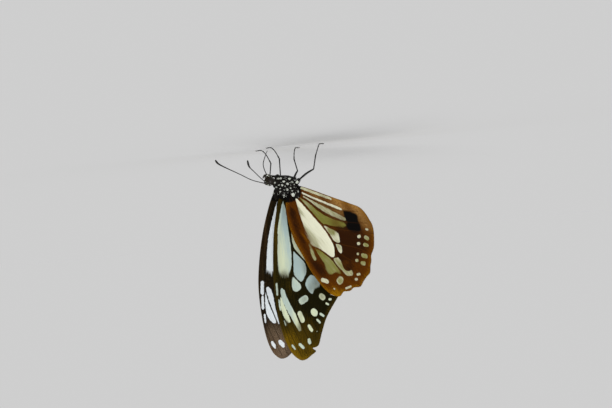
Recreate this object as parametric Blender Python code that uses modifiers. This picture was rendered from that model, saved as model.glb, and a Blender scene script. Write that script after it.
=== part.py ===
"""A male chestnut tiger butterfly, life size, standing on four feet with its wings closed.

The head points to +X and the floor is z = 0. The body is pitched nose down, and the four
wings stand over it in a narrow V: the hindwings outside, the forewings between them.
"""
import math

import bmesh
import bpy
from mathutils import Matrix, Vector, geometry

# Driving dimensions, in metres unless a line says otherwise
MM = 0.001
GAP = 0.3 * MM                      # clearance where one part meets another
THORAX_CENTRE = Vector((4.579, 0.0, 13.4)) * MM
BODY_PITCH = math.radians(23)       # nose down
FLOOR_CUT = 2.0 * MM                # depth of the block that trims the feet flat

# Head and trunk, in millimetres along, beside and above the thorax centre
THORAX_RADII = (4.3, 3.0, 3.6)
COLLAR_PLACE = (3.9, 0.0, -0.3)
COLLAR_RADII = (1.8, 1.75, 2.0)
RUMP_PLACE = (-2.7, 0.0, 0.4)
RUMP_RADII = (2.3, 2.5, 2.9)
SHOULDER_PLACE = (2.7, 1.6, 2.0)
SHOULDER_RADII = (1.1, 0.6, 1.2)
HEAD_PLACE = (6.95, 0.0, 0.0)
HEAD_RADII = (1.6, 1.6, 1.75)
BROW_PLACE = (7.95, 0.0, 0.0)
BROW_RADII = (1.0, 0.9, 1.25)
SOCKET_PLACE = (8.25, 0.58, 1.25)
SOCKET_RADIUS = 0.42
EYE_PLACE = (7.15, 1.3, 0.2)
EYE_RADII = (1.1, 0.95, 1.25)
ABDOMEN_PLACE = (-4.0, 0.0, 0.6)
ABDOMEN_LENGTH = 17.5
ABDOMEN_RADIUS = 1.9
ABDOMEN_SEGMENTS = 8
ABDOMEN_GROOVE = 0.1
ABDOMEN_TILT = math.radians(3)      # tail a little higher than the body's line

# Coxae: where each starts inside the thorax, bends and ends, with radii, in millimetres
COXAE = {
    "foreleg": ([(3.4, 0.9, -1.3), (3.9, 1.2, -1.9), (4.6, 1.5, -2.3)], (0.6, 0.5, 0.35)),
    "midleg": ([(0.9, 1.0, -2.2), (0.0, 1.5, -3.0), (-1.2, 1.9, -3.7)], (0.9, 0.8, 0.5)),
    "hindleg": ([(-1.9, 1.0, -1.6), (-2.3, 1.5, -2.8), (-2.6, 1.9, -3.9)], (0.9, 0.8, 0.5)),
}
# Knee, ankle, a bend of the foot, heel and tip of the toe, in millimetres: x from the
# thorax centre, y outward on the leg's own side, z from the floor
LEG_JOINTS = {
    "midleg_right": [(4.6, 4.0, 9.5), (6.0, 6.5, 3.9), (7.6, 6.8, 1.4), (9.2, 7.1, 0.2), (10.6, 7.3, 0.2)],
    "midleg_left": [(3.6, 4.0, 8.9), (1.1, 6.6, 4.7), (1.9, 7.9, 1.6), (3.1, 8.6, 0.2), (4.4, 9.0, 0.2)],
    "hindleg_right": [(-8.2, 4.5, 8.1), (-7.3, 7.8, 3.9), (-7.8, 8.5, 1.9), (-8.5, 9.0, 0.2),
                      (-9.5, 9.2, 0.2)],
    "hindleg_left": [(-7.7, 4.5, 7.9), (-8.5, 7.2, 3.9), (-9.3, 7.9, 1.6), (-10.2, 8.3, 0.2),
                     (-11.4, 8.6, 0.2)],
}
FEMUR_RADII = (0.34, 0.46, 0.44, 0.36)
TIBIA_RADII = (0.34, 0.31, 0.3, 0.33)
TARSUS_RADII = (0.3, 0.28, 0.27, 0.26)
CLAW_LENGTH = 0.6
CLAW_SPREAD = 0.28
CLAW_RADII = (0.16, 0.13, 0.04)
FORELEG_ROUTE = [(4.6, 1.5, -2.3), (5.8, 2.0, -2.3), (6.6, 1.9, -1.6)]
FORELEG_RADII = (0.34, 0.34, 0.25)

# Mouth and feelers: places as on the body, except those marked as measured from the floor
PALP_ROUTE = [(7.6, 0.58, -1.4), (8.9, 0.62, -1.3), (9.5, 0.62, 0.0)]
PALP_RADII = (0.36, 0.42, 0.12)
FEELER_FLOOR_ROUTES = {
    "left": [(11.6, 2.4, 9.9), (14.9, 4.65, 7.5), (19.6, 8.4, 3.9), (20.7, 9.4, 2.2)],
    "right": [(11.3, 2.4, 9.6), (14.9, 4.65, 7.5), (18.3, 7.3, 5.8), (19.8, 9.0, 3.9)],
}
FEELER_RADII = (0.25, 0.25, 0.25, 0.25, 0.25, 0.26, 0.34, 0.42, 0.36)
PROBOSCIS_ROOT = (7.5, 0.0, -1.0)
PROBOSCIS_FLOOR_ROUTE = [(7.6, 0.0, 8.0), (8.3, 0.0, 5.2), (7.3, 0.0, 2.6), (6.2, 0.0, 0.7)]
PROBOSCIS_RADII = (0.27, 0.26, 0.25, 0.22)

# How the closed wings stand, in millimetres and radians
WING_LEAN = math.radians(5)         # each side, outward from upright
WING_HINGE = (1.7, 2.8, 3.4)        # forewing base, as a place on the body
HIND_STEP = (-3.6, -1.6)            # hindwing base from forewing base, along and up
HIND_SPACING = 1.3                  # hindwing plane outside the forewing plane
HIND_SWEEP = math.radians(-60)      # the hindwings' long axis, tipped back from upright
# The forewings differ a little in how they are swept back and in size
FORE_SWEEP = {"left": math.radians(-21.8), "right": math.radians(-20)}
FORE_SIZE = {"left": 0.985, "right": 1.0}
FORE_ROOT = ((1.7, 2.25, 2.3), (1.5, 0.6, 1.5))     # place and radii of a wing's swollen root
HIND_ROOT = ((-2.0, 2.9, 1.2), (1.4, 0.9, 1.3))
WING_BOW = 0.8                      # outward belly of the closed wings
WING_RISE = 55.0                    # height over which that belly runs
ROOT_PINCH = 1.0                    # how far the wing roots curve in to the flank
PINCH_REACH = 3.0                   # height over which the pinch dies away
MEMBRANE = 0.5                      # wing thickness between the veins
VEIN_RISE = 0.2                     # ridge on each face at the wing root
VEIN_HALF_WIDTH = 0.5               # half the foot of a ridge
BORDER_STEP = 1.7                   # spacing of corners round a wing's margin
VEIN_STEP = 3.0                     # spacing of corners along a vein

# Wing outlines and veins: millimetres along and across a wing from its own base, where
# across grows from the front edge to the rear one
FOREWING_OUTLINE = [
    (-1.5, -1.0), (0.6, -1.9), (5.0, -3.3), (12.0, -5.2), (21.0, -6.8), (30.0, -7.5), (39.0, -6.8),
    (46.6, -5.4), (51.4, -3.5), (53.9, -1.1), (54.3, 1.3), (53.0, 3.8), (50.0, 6.8), (45.7, 8.8),
    (40.8, 11.2), (35.5, 15.4), (31.5, 18.8), (28.0, 20.3), (24.5, 19.4), (16.0, 12.7), (7.0, 5.2),
    (0.6, 1.9), (-1.5, 1.1),
]
WORN_NICK = [(51.6, 5.9), (50.6, 4.4), (49.8, 7.0)]
NICKED_POINT = 12                   # the place in the outline that the worn nick takes
# The near forewing bends a little, so that in the pose its front edge bows out
BOWED_FRONT = [(0.6, -2.1), (5.0, -4.0), (12.0, -6.1), (21.0, -7.6), (30.0, -8.3), (39.0, -7.8),
               (46.6, -6.1), (51.4, -3.8)]
BOWED_COSTA = [(-1.0, -0.9), (5, -3.6), (12, -5.7), (21, -7.2), (30, -7.9), (39, -7.4), (47, -5.6)]
FOREWING_VEINS = {
    "costa": [(-1.0, -0.9), (5, -2.9), (12, -4.8), (21, -6.4), (30, -7.1), (39, -6.5), (47, -5.0)],
    "radius": [(-1.0, -0.5), (5, -1.8), (10, -3.5), (15, -5.1), (20, -5.9), (28, -6.3), (36, -6.6),
               (44, -5.3), (51.2, -3.0)],
    "radius_5": [(34, -6.5), (40, -5.7), (45, -3.9), (53.4, 0.3)],
    "media_1": [(28.0, -5.7), (31, -6.2), (34, -5.9), (37.5, -4.8), (41, -3.4), (47, -0.6), (53.1, 2.6)],
    "media_2": [(28.4, -3.9), (33, -3.9), (36, -2.6), (39, -0.9), (42.5, 0.8), (47, 3.0), (51.2, 5.0)],
    "media_3": [(28.0, -2.0), (31.5, -1.5), (35, 0.5), (38, 2.8), (41.5, 5.3), (46.0, 8.3)],
    "cubitus": [(-1.0, 0.2), (5, -0.1), (10, 0.0), (17, 0.3), (21, 0.0), (25, -0.5), (28.0, -2.0)],
    "cubitus_1": [(25.0, -0.5), (27.6, 1.0), (30.6, 2.9), (33.6, 5.2), (36.8, 8.4), (40.3, 10.9)],
    "cubitus_2": [(17.2, 0.3), (20.2, 2.9), (22.8, 5.1), (26, 8.0), (28.6, 10.4), (34.6, 15.4)],
    "anal": [(0.0, 0.9), (4, 2.4), (12, 7.6), (20, 13.8), (27.4, 19.4)],
    "cell_end": [(28.0, -6.2), (27.7, -4.8), (28.3, -3.6), (28.0, -2.0)],
}
HINDWING_OUTLINE = [
    (-2.0, -1.2), (-1.8, -3.6), (-0.6, -5.7), (1.6, -7.9), (5.0, -10.2), (10.0, -12.5), (15.5, -13.7),
    (21.0, -15.0), (27.0, -15.4), (31.3, -14.8), (33.9, -13.2), (34.5, -11.9), (34.4, -10.3),
    (35.9, -8.2), (36.2, -6.3), (37.7, -4.0), (37.4, -1.8), (37.2, 0.2), (37.2, 2.4), (35.8, 4.2),
    (34.9, 5.8), (33.6, 7.2), (32.7, 9.8), (31.1, 12.0), (28.2, 15.2), (25.4, 16.6), (20.6, 16.7),
    (16.2, 14.3), (9.2, 9.9), (2.3, 5.6), (-1.0, 3.2), (-2.0, 1.2),
]
HINDWING_VEINS = {
    "costa": [(-0.6, -3.2), (3.0, -7.4), (9.0, -10.6), (17, -12.6), (25, -13.6), (33.0, -12.9)],
    "radius": [(-1.2, -2.0), (4, -4.2), (9, -6.9), (14, -8.8), (20, -9.8), (26, -10.9), (34.0, -11.6)],
    "media_1": [(19.6, -6.7), (23.6, -5.6), (25.6, -6.1), (28.7, -6.2), (32, -5.8), (37.4, -4.0)],
    "media_2": [(24.2, -3.6), (27.5, -3.6), (31, -2.4), (37.0, -0.4)],
    "media_3": [(22.8, -2.3), (27, -1.3), (31, 0.6), (36.3, 3.4)],
    "cell_end": [(15.6, -9.0), (17.4, -7.6), (19.6, -6.7), (23.6, -5.6), (24.2, -3.6), (22.8, -2.3)],
    "cubitus": [(-1.2, -0.8), (6.2, -0.4), (13.2, -0.1), (20.4, -1.2), (22.8, -2.3)],
    "cubitus_1": [(20.8, -1.4), (22.3, 0.2), (24.5, 1.8), (28, 4.6), (33.2, 7.5)],
    "cubitus_2": [(13.8, 0.0), (16.5, 1.8), (21, 5.6), (25, 9.5), (29.6, 13.6)],
    "anal_1": [(0.0, 0.4), (5, 1.9), (10, 2.8), (14, 4.4), (18, 6.9), (22, 10.6), (25.6, 14.6)],
    "anal_2": [(-0.4, 0.9), (4.0, 3.2), (8, 4.9), (12, 7.0), (16, 9.8), (20.5, 15.0)],
}

# Colour, roughness and metallic value of each kind of surface
FINISHES = {
    "black_scales": ((0.012, 0.010, 0.009), 0.7, 0.0),
    "eye_facets": ((0.018, 0.010, 0.008), 0.2, 0.0),
    "black_horn": ((0.010, 0.008, 0.007), 0.45, 0.0),
    "forewing_scales": ((0.10, 0.09, 0.07), 0.65, 0.0),
    "hindwing_scales": ((0.14, 0.06, 0.02), 0.65, 0.0),
    "abdomen_scales": ((0.09, 0.05, 0.025), 0.7, 0.0),
}

SIDES = ((1, "left"), (-1, "right"))
FORWARD = Vector((math.cos(BODY_PITCH), 0, -math.sin(BODY_PITCH)))
UPWARD = Vector((math.sin(BODY_PITCH), 0, math.cos(BODY_PITCH)))
SIDEWAYS = Vector((0, 1, 0))


def body_point(place, side=1):
    """World metres of a place on the body, mirrored to the right where side is -1."""
    forward, beside, up = place
    return THORAX_CENTRE + (forward * FORWARD + beside * side * SIDEWAYS + up * UPWARD) * MM


def floor_point(place, side=1):
    """World metres of a place measured from the thorax centre along, and from the floor up."""
    x, y, z = place
    return Vector((THORAX_CENTRE.x + x * MM, y * side * MM, z * MM))


def finish(name):
    """The Principled material of one kind of surface."""
    material = bpy.data.materials.get(name)
    if material is None:
        material = bpy.data.materials.new(name)
        material.use_nodes = True
        colour, roughness, metallic = FINISHES[name]
        shader = material.node_tree.nodes["Principled BSDF"]
        shader.inputs["Base Color"].default_value = (*colour, 1)
        shader.inputs["Roughness"].default_value = roughness
        shader.inputs["Metallic"].default_value = metallic
    return material


def shell_volume(faces):
    """The volume that a closed shell of triangles encloses."""
    corners = [[vertex.co for vertex in face.verts] for face in faces]
    return sum(a.dot(b.cross(c)) for a, b, c in corners) / 6


def shells_of(bm):
    """The faces of a mesh, grouped into its separate shells."""
    unseen = set(bm.faces)
    shells = []
    while unseen:
        front = [unseen.pop()]
        shell = list(front)
        while front:
            for edge in front.pop().edges:
                fresh = [face for face in edge.link_faces if face in unseen]
                unseen.difference_update(fresh)
                front += fresh
                shell += fresh
        shells.append(shell)
    return sorted(shells, key=shell_volume)


def settle(thing):
    """Bake modifiers or a curve into a mesh, and keep its largest closed surface only."""
    depsgraph = bpy.context.evaluated_depsgraph_get()
    mesh = bpy.data.meshes.new_from_object(thing.evaluated_get(depsgraph))
    bm = bmesh.new()
    bm.from_mesh(mesh)
    bmesh.ops.remove_doubles(bm, verts=bm.verts, dist=0.001 * MM)
    bmesh.ops.recalc_face_normals(bm, faces=bm.faces)
    bmesh.ops.triangulate(bm, faces=bm.faces)
    loose = [face for shell in shells_of(bm)[:-1] for face in shell]
    bmesh.ops.delete(bm, geom=loose, context="FACES")
    bm.to_mesh(mesh)
    bm.free()
    solid = workpiece(mesh)
    solid.matrix_world = thing.matrix_world
    bpy.data.objects.remove(thing)
    return solid


def workpiece(data):
    """A new object on the workbench from a mesh or a curve."""
    thing = bpy.data.objects.new(data.name, data)
    WORKSHOP.objects.link(thing)
    return thing


def mesh_piece(bm, name):
    """A new object on the workbench from an edit mesh, which is freed."""
    bmesh.ops.recalc_face_normals(bm, faces=bm.faces)
    mesh = bpy.data.meshes.new(name)
    bm.to_mesh(mesh)
    bm.free()
    return workpiece(mesh)


def combine(target, others, operation):
    """One Boolean of a solid with a collection of closed meshes, which are then removed."""
    group = bpy.data.collections.new("cutters")
    bpy.context.scene.collection.children.link(group)
    for other in others:
        WORKSHOP.objects.unlink(other)
        group.objects.link(other)
        other.hide_render = True
        other.display_type = "WIRE"
    boolean = target.modifiers.new("boolean", "BOOLEAN")
    boolean.operation = operation
    boolean.operand_type = "COLLECTION"
    boolean.collection = group
    boolean.solver = "EXACT"
    solid = settle(target)
    for other in others:
        bpy.data.objects.remove(other)
    bpy.data.collections.remove(group)
    return solid


def clearance(form):
    """A cutter of a form grown by the gap, modelled the first time and copied after that."""
    if form not in GROWN_FORMS:
        solid = form(GAP)
        GROWN_FORMS[form] = solid.data.copy()
        return solid
    return workpiece(GROWN_FORMS[form].copy())


def deliver(solid, name, material):
    """Name a finished part, shade it, give it its own material and file it."""
    solid.name = name
    solid.data.name = name
    solid.data.materials.clear()
    solid.data.materials.append(finish(material))
    solid.data.shade_smooth()
    solid.data.set_sharp_from_angle(angle=math.radians(40))
    WORKSHOP.objects.unlink(solid)
    BUTTERFLY.objects.link(solid)


def ellipsoid(centre, radii, grow=0.0, segments=16, rings=10):
    """A closed egg in the body's own directions, from radii in millimetres."""
    along, side, up = [radius * MM + grow for radius in radii]
    axes = Matrix((FORWARD * along, SIDEWAYS * side, UPWARD * up)).transposed().to_4x4()
    bm = bmesh.new()
    bmesh.ops.create_uvsphere(bm, u_segments=segments, v_segments=rings, radius=1)
    bmesh.ops.transform(bm, matrix=Matrix.Translation(centre) @ axes, verts=bm.verts)
    return mesh_piece(bm, "egg")


def smooth_route(route, steps):
    """Points on a Catmull-Rom curve through a route, with so many steps a stretch."""
    ends = [route[0] * 2 - route[1], *route, route[-1] * 2 - route[-2]]
    points = []
    for a, b, c, d in zip(ends, ends[1:], ends[2:], ends[3:]):
        for step in range(steps):
            t = step / steps
            points.append(0.5 * (2 * b + (c - a) * t + (2 * a - 5 * b + 4 * c - d) * t**2
                                 + (3 * b - 3 * c + d - a) * t**3))
    return points + [route[-1]]


def blend(values, t):
    """A value read at t from 0 to 1 along a list of evenly spaced ones."""
    place = t * (len(values) - 1)
    index = min(int(place), len(values) - 2)
    return values[index] + (values[index + 1] - values[index]) * (place - index)


def tube(route, radii, grow=0.0, steps=3, resolution=2):
    """A closed round bar along a smooth route, with its radii spread evenly over it."""
    points = smooth_route(route, steps)
    if grow:
        points[0] += (points[0] - points[1]).normalized() * grow
        points[-1] += (points[-1] - points[-2]).normalized() * grow
    curve = bpy.data.curves.new("tube", "CURVE")
    curve.dimensions = "3D"
    curve.bevel_depth = MM
    curve.bevel_resolution = resolution
    curve.use_fill_caps = True
    spline = curve.splines.new("POLY")
    spline.points.add(len(points) - 1)
    for index, (corner, point) in enumerate(zip(spline.points, points)):
        corner.co = (*point, 1)
        corner.radius = blend(radii, index / (len(points) - 1)) + grow / MM
    return settle(workpiece(curve))


def thorax_form(grow=0.0):
    """The trunk, joined from its collar, its rump, two shoulder plates and six coxae."""
    core = ellipsoid(body_point((-0.1, 0, 0.3)), THORAX_RADII, grow, 24, 14)
    lobes = [ellipsoid(body_point(RUMP_PLACE), RUMP_RADII, grow, 16, 10),
             ellipsoid(body_point(COLLAR_PLACE), COLLAR_RADII, grow, 16, 10)]
    for side, _ in SIDES:
        lobes.append(ellipsoid(body_point(SHOULDER_PLACE, side), SHOULDER_RADII, grow, 12, 8))
        for route, radii in COXAE.values():
            lobes.append(tube([body_point(place, side) for place in route], radii, grow, 2))
    return combine(core, lobes, "UNION")


def head_form(grow=0.0):
    """The head capsule with its brow and the sockets of the two feelers."""
    brow = [ellipsoid(body_point(BROW_PLACE), BROW_RADII, grow, 12, 8)]
    for side, _ in SIDES:
        brow.append(ellipsoid(body_point(SOCKET_PLACE, side), (SOCKET_RADIUS,) * 3, grow, 10, 6))
    return combine(ellipsoid(body_point(HEAD_PLACE), HEAD_RADII, grow, 20, 12), brow, "UNION")


def eye_form(side, grow=0.0):
    """One compound eye, bulging from the side of the head."""
    return ellipsoid(body_point(EYE_PLACE, side), EYE_RADII, grow, 16, 12)


def abdomen_form():
    """A turned profile with a shallow groove between segments, laid along the body."""
    rows = ABDOMEN_SEGMENTS * 3
    bm = bmesh.new()
    chain = [bm.verts.new((0, 0, 0))]
    for row in range(rows + 1):
        t = row / rows
        radius = ABDOMEN_RADIUS * math.sin(math.pi * (0.22 + 0.68 * t)) ** 0.7
        if row % 3 == 0:
            radius -= ABDOMEN_GROOVE
        chain.append(bm.verts.new((radius * MM, 0, -t * ABDOMEN_LENGTH * MM)))
    chain.append(bm.verts.new((0, 0, -(ABDOMEN_LENGTH + 0.5) * MM)))
    for above, below in zip(chain, chain[1:]):
        bm.edges.new((above, below))
    turned = mesh_piece(bm, "abdomen")
    screw = turned.modifiers.new("screw", "SCREW")
    screw.steps = 18
    screw.render_steps = 18
    screw.use_merge_vertices = True
    screw.merge_threshold = 0.01 * MM
    tail = FORWARD * math.cos(ABDOMEN_TILT) - UPWARD * math.sin(ABDOMEN_TILT)
    turn = tail.to_track_quat("Z", "Y").to_matrix().to_4x4()
    turned.matrix_world = Matrix.Translation(body_point(ABDOMEN_PLACE)) @ turn
    bpy.context.view_layer.update()
    return settle(turned)


def make_body():
    """The thorax, the head with its eyes set in sockets, and the abdomen behind."""
    deliver(thorax_form(), "thorax", "black_scales")
    eyes = [eye_form(side, GAP) for side, _ in SIDES]
    head = combine(head_form(), [clearance(thorax_form), *eyes], "DIFFERENCE")
    deliver(head, "head", "black_scales")
    for side, word in SIDES:
        deliver(eye_form(side), f"eye_{word}", "eye_facets")
    abdomen = combine(abdomen_form(), [clearance(thorax_form)], "DIFFERENCE")
    deliver(abdomen, "abdomen", "abdomen_scales")


def floor_block():
    """The block whose top face is the floor, which trims the toes to small flats."""
    bm = bmesh.new()
    bmesh.ops.create_cube(bm, size=1)
    bmesh.ops.scale(bm, vec=(80 * MM, 40 * MM, FLOOR_CUT), verts=bm.verts)
    bmesh.ops.translate(bm, vec=(0, 0, -FLOOR_CUT / 2), verts=bm.verts)
    return mesh_piece(bm, "floor")


def claws(heel, toe):
    """Two short hooked claws that splay from the tip of a toe down to the floor."""
    ahead = (toe - heel).normalized()
    pair = []
    for hand in (-1, 1):
        out = ahead.cross(Vector((0, 0, 1))) * hand * CLAW_SPREAD * MM
        tip = toe + ahead * CLAW_LENGTH * MM + out
        tip.z = CLAW_RADII[-1] * MM
        arch = (toe + tip) / 2 + out * 0.4 + Vector((0, 0, 0.08 * MM))
        pair.append(tube([toe - ahead * 0.2 * MM, arch, tip], CLAW_RADII, steps=2, resolution=1))
    return pair


def make_leg(pair, side, word):
    """Femur, tibia and foot of a walking leg, each trimmed clear of the one before it."""
    name = f"{pair}_{word}"
    hip = body_point(COXAE[pair][0][-1], side)
    knee, ankle, bend, heel, toe = [floor_point(joint, side) for joint in LEG_JOINTS[name]]
    femur = [hip, hip.lerp(knee, 0.5) - UPWARD * 0.2 * MM, knee]
    tibia = [knee, ankle]
    thigh = combine(tube(femur, FEMUR_RADII), [clearance(thorax_form)], "DIFFERENCE")
    deliver(thigh, f"{name}_femur", "black_horn")
    shin = combine(tube(tibia, TIBIA_RADII), [tube(femur, FEMUR_RADII, GAP)], "DIFFERENCE")
    deliver(shin, f"{name}_tibia", "black_horn")
    foot = combine(tube([ankle, bend, heel, toe], TARSUS_RADII), claws(heel, toe), "UNION")
    foot = combine(foot, [tube(tibia, TIBIA_RADII, GAP), floor_block()], "DIFFERENCE")
    deliver(foot, f"{name}_tarsus", "black_horn")


def rooted_tube(name, material, route, radii, *forms, steps=3):
    """A slender part that grows from the body: a tube trimmed clear of what carries it."""
    cutters = [clearance(form) for form in forms]
    deliver(combine(tube(route, radii, steps=steps), cutters, "DIFFERENCE"), name, material)


def make_small_limbs():
    """The folded forelegs, the palps, the two clubbed feelers and the uncoiled proboscis."""
    for side, word in SIDES:
        foreleg = [body_point(place, side) for place in FORELEG_ROUTE]
        rooted_tube(f"foreleg_{word}", "black_horn", foreleg, FORELEG_RADII, thorax_form, head_form)
        palp = [body_point(place, side) for place in PALP_ROUTE]
        rooted_tube(f"palp_{word}", "black_scales", palp, PALP_RADII, head_form)
        feeler = [body_point(SOCKET_PLACE, side)]
        feeler += [floor_point(place, side) for place in FEELER_FLOOR_ROUTES[word]]
        rooted_tube(f"antenna_{word}", "black_horn", feeler, FEELER_RADII, head_form, steps=4)
    sucker = [body_point(PROBOSCIS_ROOT)]
    sucker += [floor_point(place) for place in PROBOSCIS_FLOOR_ROUTE]
    rooted_tube("proboscis", "black_horn", sucker, PROBOSCIS_RADII, head_form)


def nearest_on(point, a, b):
    """The nearest place to a point on the stretch from a to b."""
    along = b - a
    t = (point - a).dot(along) / along.length_squared
    return a + along * min(max(t, 0), 1)


def edge_distance(point, outline):
    """How far a plane point is from a closed outline."""
    pairs = zip(outline, outline[1:] + outline[:1])
    return min((point - nearest_on(point, a, b)).length for a, b in pairs)


def is_inside(point, outline, margin):
    """Whether a plane point is inside a closed outline and clear of its edge by a margin."""
    inside = False
    for a, b in zip(outline, outline[1:] + outline[:1]):
        if (a.y > point.y) != (b.y > point.y):
            if point.x < a.x + (point.y - a.y) * (b.x - a.x) / (b.y - a.y):
                inside = not inside
    return inside and edge_distance(point, outline) > margin


def even_points(route, spacing):
    """Points about so far apart along a smooth curve through a route."""
    fine = smooth_route([Vector(point) for point in route], 12)
    lengths = [0.0]
    for a, b in zip(fine, fine[1:]):
        lengths.append(lengths[-1] + (b - a).length)
    count = max(2, round(lengths[-1] / spacing))
    points = []
    for step in range(count + 1):
        goal = min(lengths[-1] * step / count, lengths[-1] * (1 - 1e-9))
        index = sum(length <= goal for length in lengths) - 1
        share = (goal - lengths[index]) / (lengths[index + 1] - lengths[index])
        points.append(fine[index].lerp(fine[index + 1], share))
    return points


def vein_rows(line, border):
    """The crest of a vein and the foot of its ridge on either hand, kept inside the margin."""
    rows = [line, [], []]
    for index, point in enumerate(line):
        ahead = line[min(index + 1, len(line) - 1)] - line[max(index - 1, 0)]
        across = Vector((-ahead.y, ahead.x)).normalized() * VEIN_HALF_WIDTH
        for row, foot in zip(rows[1:], (point - across, point + across)):
            if is_inside(foot, border, 0.2):
                row.append(foot)
    return rows


def ridge_height(point, veins):
    """The rise of the vein ridges at a plane point, highest at the wing root."""
    best = 0.0
    for vein in veins:
        for a, b in zip(vein, vein[1:]):
            near = nearest_on(point, a, b)
            rise = VEIN_RISE * (1 - 0.5 * min(near.length / WING_RISE, 1))
            best = max(best, rise * (1 - (point - near).length / VEIN_HALF_WIDTH))
    return best


def wing_plan(outline, veins):
    """Triangles of a wing in its own plane, and half its thickness at each corner."""
    border = even_points(outline, BORDER_STEP)
    lines = [[point for point in even_points(route, VEIN_STEP) if is_inside(point, border, 0.35)]
             for route in veins.values()]
    corners = list(border)
    edges = []
    for line in lines:
        for row in vein_rows(line, border):
            start = len(corners)
            corners += row
            edges += [(start + i, start + i + 1) for i in range(len(row) - 1)]
    rim = [list(range(len(border)))]
    corners, _, faces, *_ = geometry.delaunay_2d_cdt(corners, edges, rim, 1, 0.05)
    halves = [MEMBRANE / 2 + ridge_height(corner, lines) for corner in corners]
    return corners, faces, halves


def outward(side):
    """The direction that a wing's outer face looks in."""
    return SIDEWAYS * side * math.cos(WING_LEAN) - UPWARD * math.sin(WING_LEAN)


def wing_point(corner, sweep, step, spacing, side):
    """World metres of a wing's plane point: leaned, bowed, and pinched in at the root."""
    along, across = corner
    ahead = step[0] + along * math.sin(sweep) - across * math.cos(sweep)
    rise = step[1] + along * math.cos(sweep) + across * math.sin(sweep)
    share = min(max(rise / WING_RISE, 0), 1)
    pinch = ROOT_PINCH * math.exp(-(max(rise, -PINCH_REACH) + 2) / PINCH_REACH)
    out = spacing + WING_BOW * 4 * share * (1 - share) - pinch
    climb = UPWARD * math.cos(WING_LEAN) + SIDEWAYS * side * math.sin(WING_LEAN)
    return body_point(WING_HINGE, side) + (FORWARD * ahead + climb * rise + outward(side) * out) * MM


def wing_form(plan, size, sweep, step, spacing, side):
    """One wing as a closed solid: the same triangles on both faces and a wall round them."""
    corners, faces, halves = plan
    bm = bmesh.new()
    places = [wing_point(corner * size, sweep, step, spacing, side) for corner in corners]
    inner = [bm.verts.new(place - outward(side) * half * MM) for place, half in zip(places, halves)]
    outer = [bm.verts.new(place + outward(side) * half * MM) for place, half in zip(places, halves)]
    directed = set()
    for face in faces:
        bm.faces.new([outer[i] for i in face])
        bm.faces.new([inner[i] for i in reversed(face)])
        directed.update(zip(face, [*face[1:], face[0]]))
    for a, b in sorted(directed):
        if (b, a) not in directed:
            bm.faces.new([outer[b], outer[a], inner[a], inner[b]])
    return mesh_piece(bm, "wing")


def make_wings():
    """The four wings, each with a swollen root that meets the flank of the thorax."""
    tip = len(BOWED_FRONT) + 1
    nicked = FOREWING_OUTLINE[tip:NICKED_POINT] + WORN_NICK + FOREWING_OUTLINE[NICKED_POINT + 1:]
    near_outline = FOREWING_OUTLINE[:1] + BOWED_FRONT + nicked
    near_veins = {**FOREWING_VEINS, "costa": BOWED_COSTA}
    fore_plans = wing_plan(FOREWING_OUTLINE, FOREWING_VEINS), wing_plan(near_outline, near_veins)
    hind_plan = wing_plan(HINDWING_OUTLINE, HINDWING_VEINS)
    for (side, word), fore_plan in zip(SIDES, fore_plans):
        fore = wing_form(fore_plan, FORE_SIZE[word], FORE_SWEEP[word], (0, 0), 0, side)
        hind = wing_form(hind_plan, 1, HIND_SWEEP, HIND_STEP, HIND_SPACING, side)
        for kind, wing, root in (("forewing", fore, FORE_ROOT), ("hindwing", hind, HIND_ROOT)):
            root = ellipsoid(body_point(root[0], side), root[1], 0, 12, 8)
            wing = combine(combine(wing, [root], "UNION"), [clearance(thorax_form)], "DIFFERENCE")
            deliver(wing, f"{kind}_{word}", f"{kind}_scales")


for leftover in list(bpy.data.objects):
    bpy.data.objects.remove(leftover)

GROWN_FORMS = {}
BUTTERFLY = bpy.data.collections.new("chestnut_tiger_butterfly")
WORKSHOP = bpy.data.collections.new("workshop")
for collection in (BUTTERFLY, WORKSHOP):
    bpy.context.scene.collection.children.link(collection)

make_body()
for leg_side, leg_word in SIDES:
    make_leg("midleg", leg_side, leg_word)
    make_leg("hindleg", leg_side, leg_word)
make_small_limbs()
make_wings()
bpy.data.collections.remove(WORKSHOP)
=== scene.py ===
# %% [markdown]
# # A chestnut tiger butterfly, life size
# This notebook dresses a still model of a male chestnut tiger: black body with white dots,
# glassy blue-white panels on dark wings, and chestnut hindwings. The solids that carry the
# model are already packed, so the first step is to load them. Everything that follows is
# placed in their frame: metres, the head towards +X, the floor at z = 0.

# %% Load the solids
import math

import bmesh
import bpy
import numpy as np
from mathutils import Matrix, Vector, geometry
from mathutils.bvhtree import BVHTree
from mathutils.kdtree import KDTree


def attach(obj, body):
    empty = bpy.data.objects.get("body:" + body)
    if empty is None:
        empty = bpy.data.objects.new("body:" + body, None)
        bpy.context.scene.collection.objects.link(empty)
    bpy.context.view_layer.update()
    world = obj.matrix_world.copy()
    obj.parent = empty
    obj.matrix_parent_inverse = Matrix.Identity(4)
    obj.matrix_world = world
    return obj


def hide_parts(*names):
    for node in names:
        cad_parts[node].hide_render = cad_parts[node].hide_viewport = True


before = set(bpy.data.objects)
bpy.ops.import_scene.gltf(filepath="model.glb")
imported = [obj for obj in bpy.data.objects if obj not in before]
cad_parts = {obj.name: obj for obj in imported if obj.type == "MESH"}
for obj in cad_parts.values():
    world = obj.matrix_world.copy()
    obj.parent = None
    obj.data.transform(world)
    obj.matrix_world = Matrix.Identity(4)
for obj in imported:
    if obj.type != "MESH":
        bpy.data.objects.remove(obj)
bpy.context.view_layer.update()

# %% [markdown]
# ## Where things are
# A butterfly is easiest to describe in its own directions: forward along the body, beside it
# and up from it. The body is pitched nose down by 23 degrees, so two small functions turn a
# place on the body, or one measured up from the floor, into world metres. Most of these
# numbers also shaped the solids, which is why the fine pieces fit them without nudging.

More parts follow.
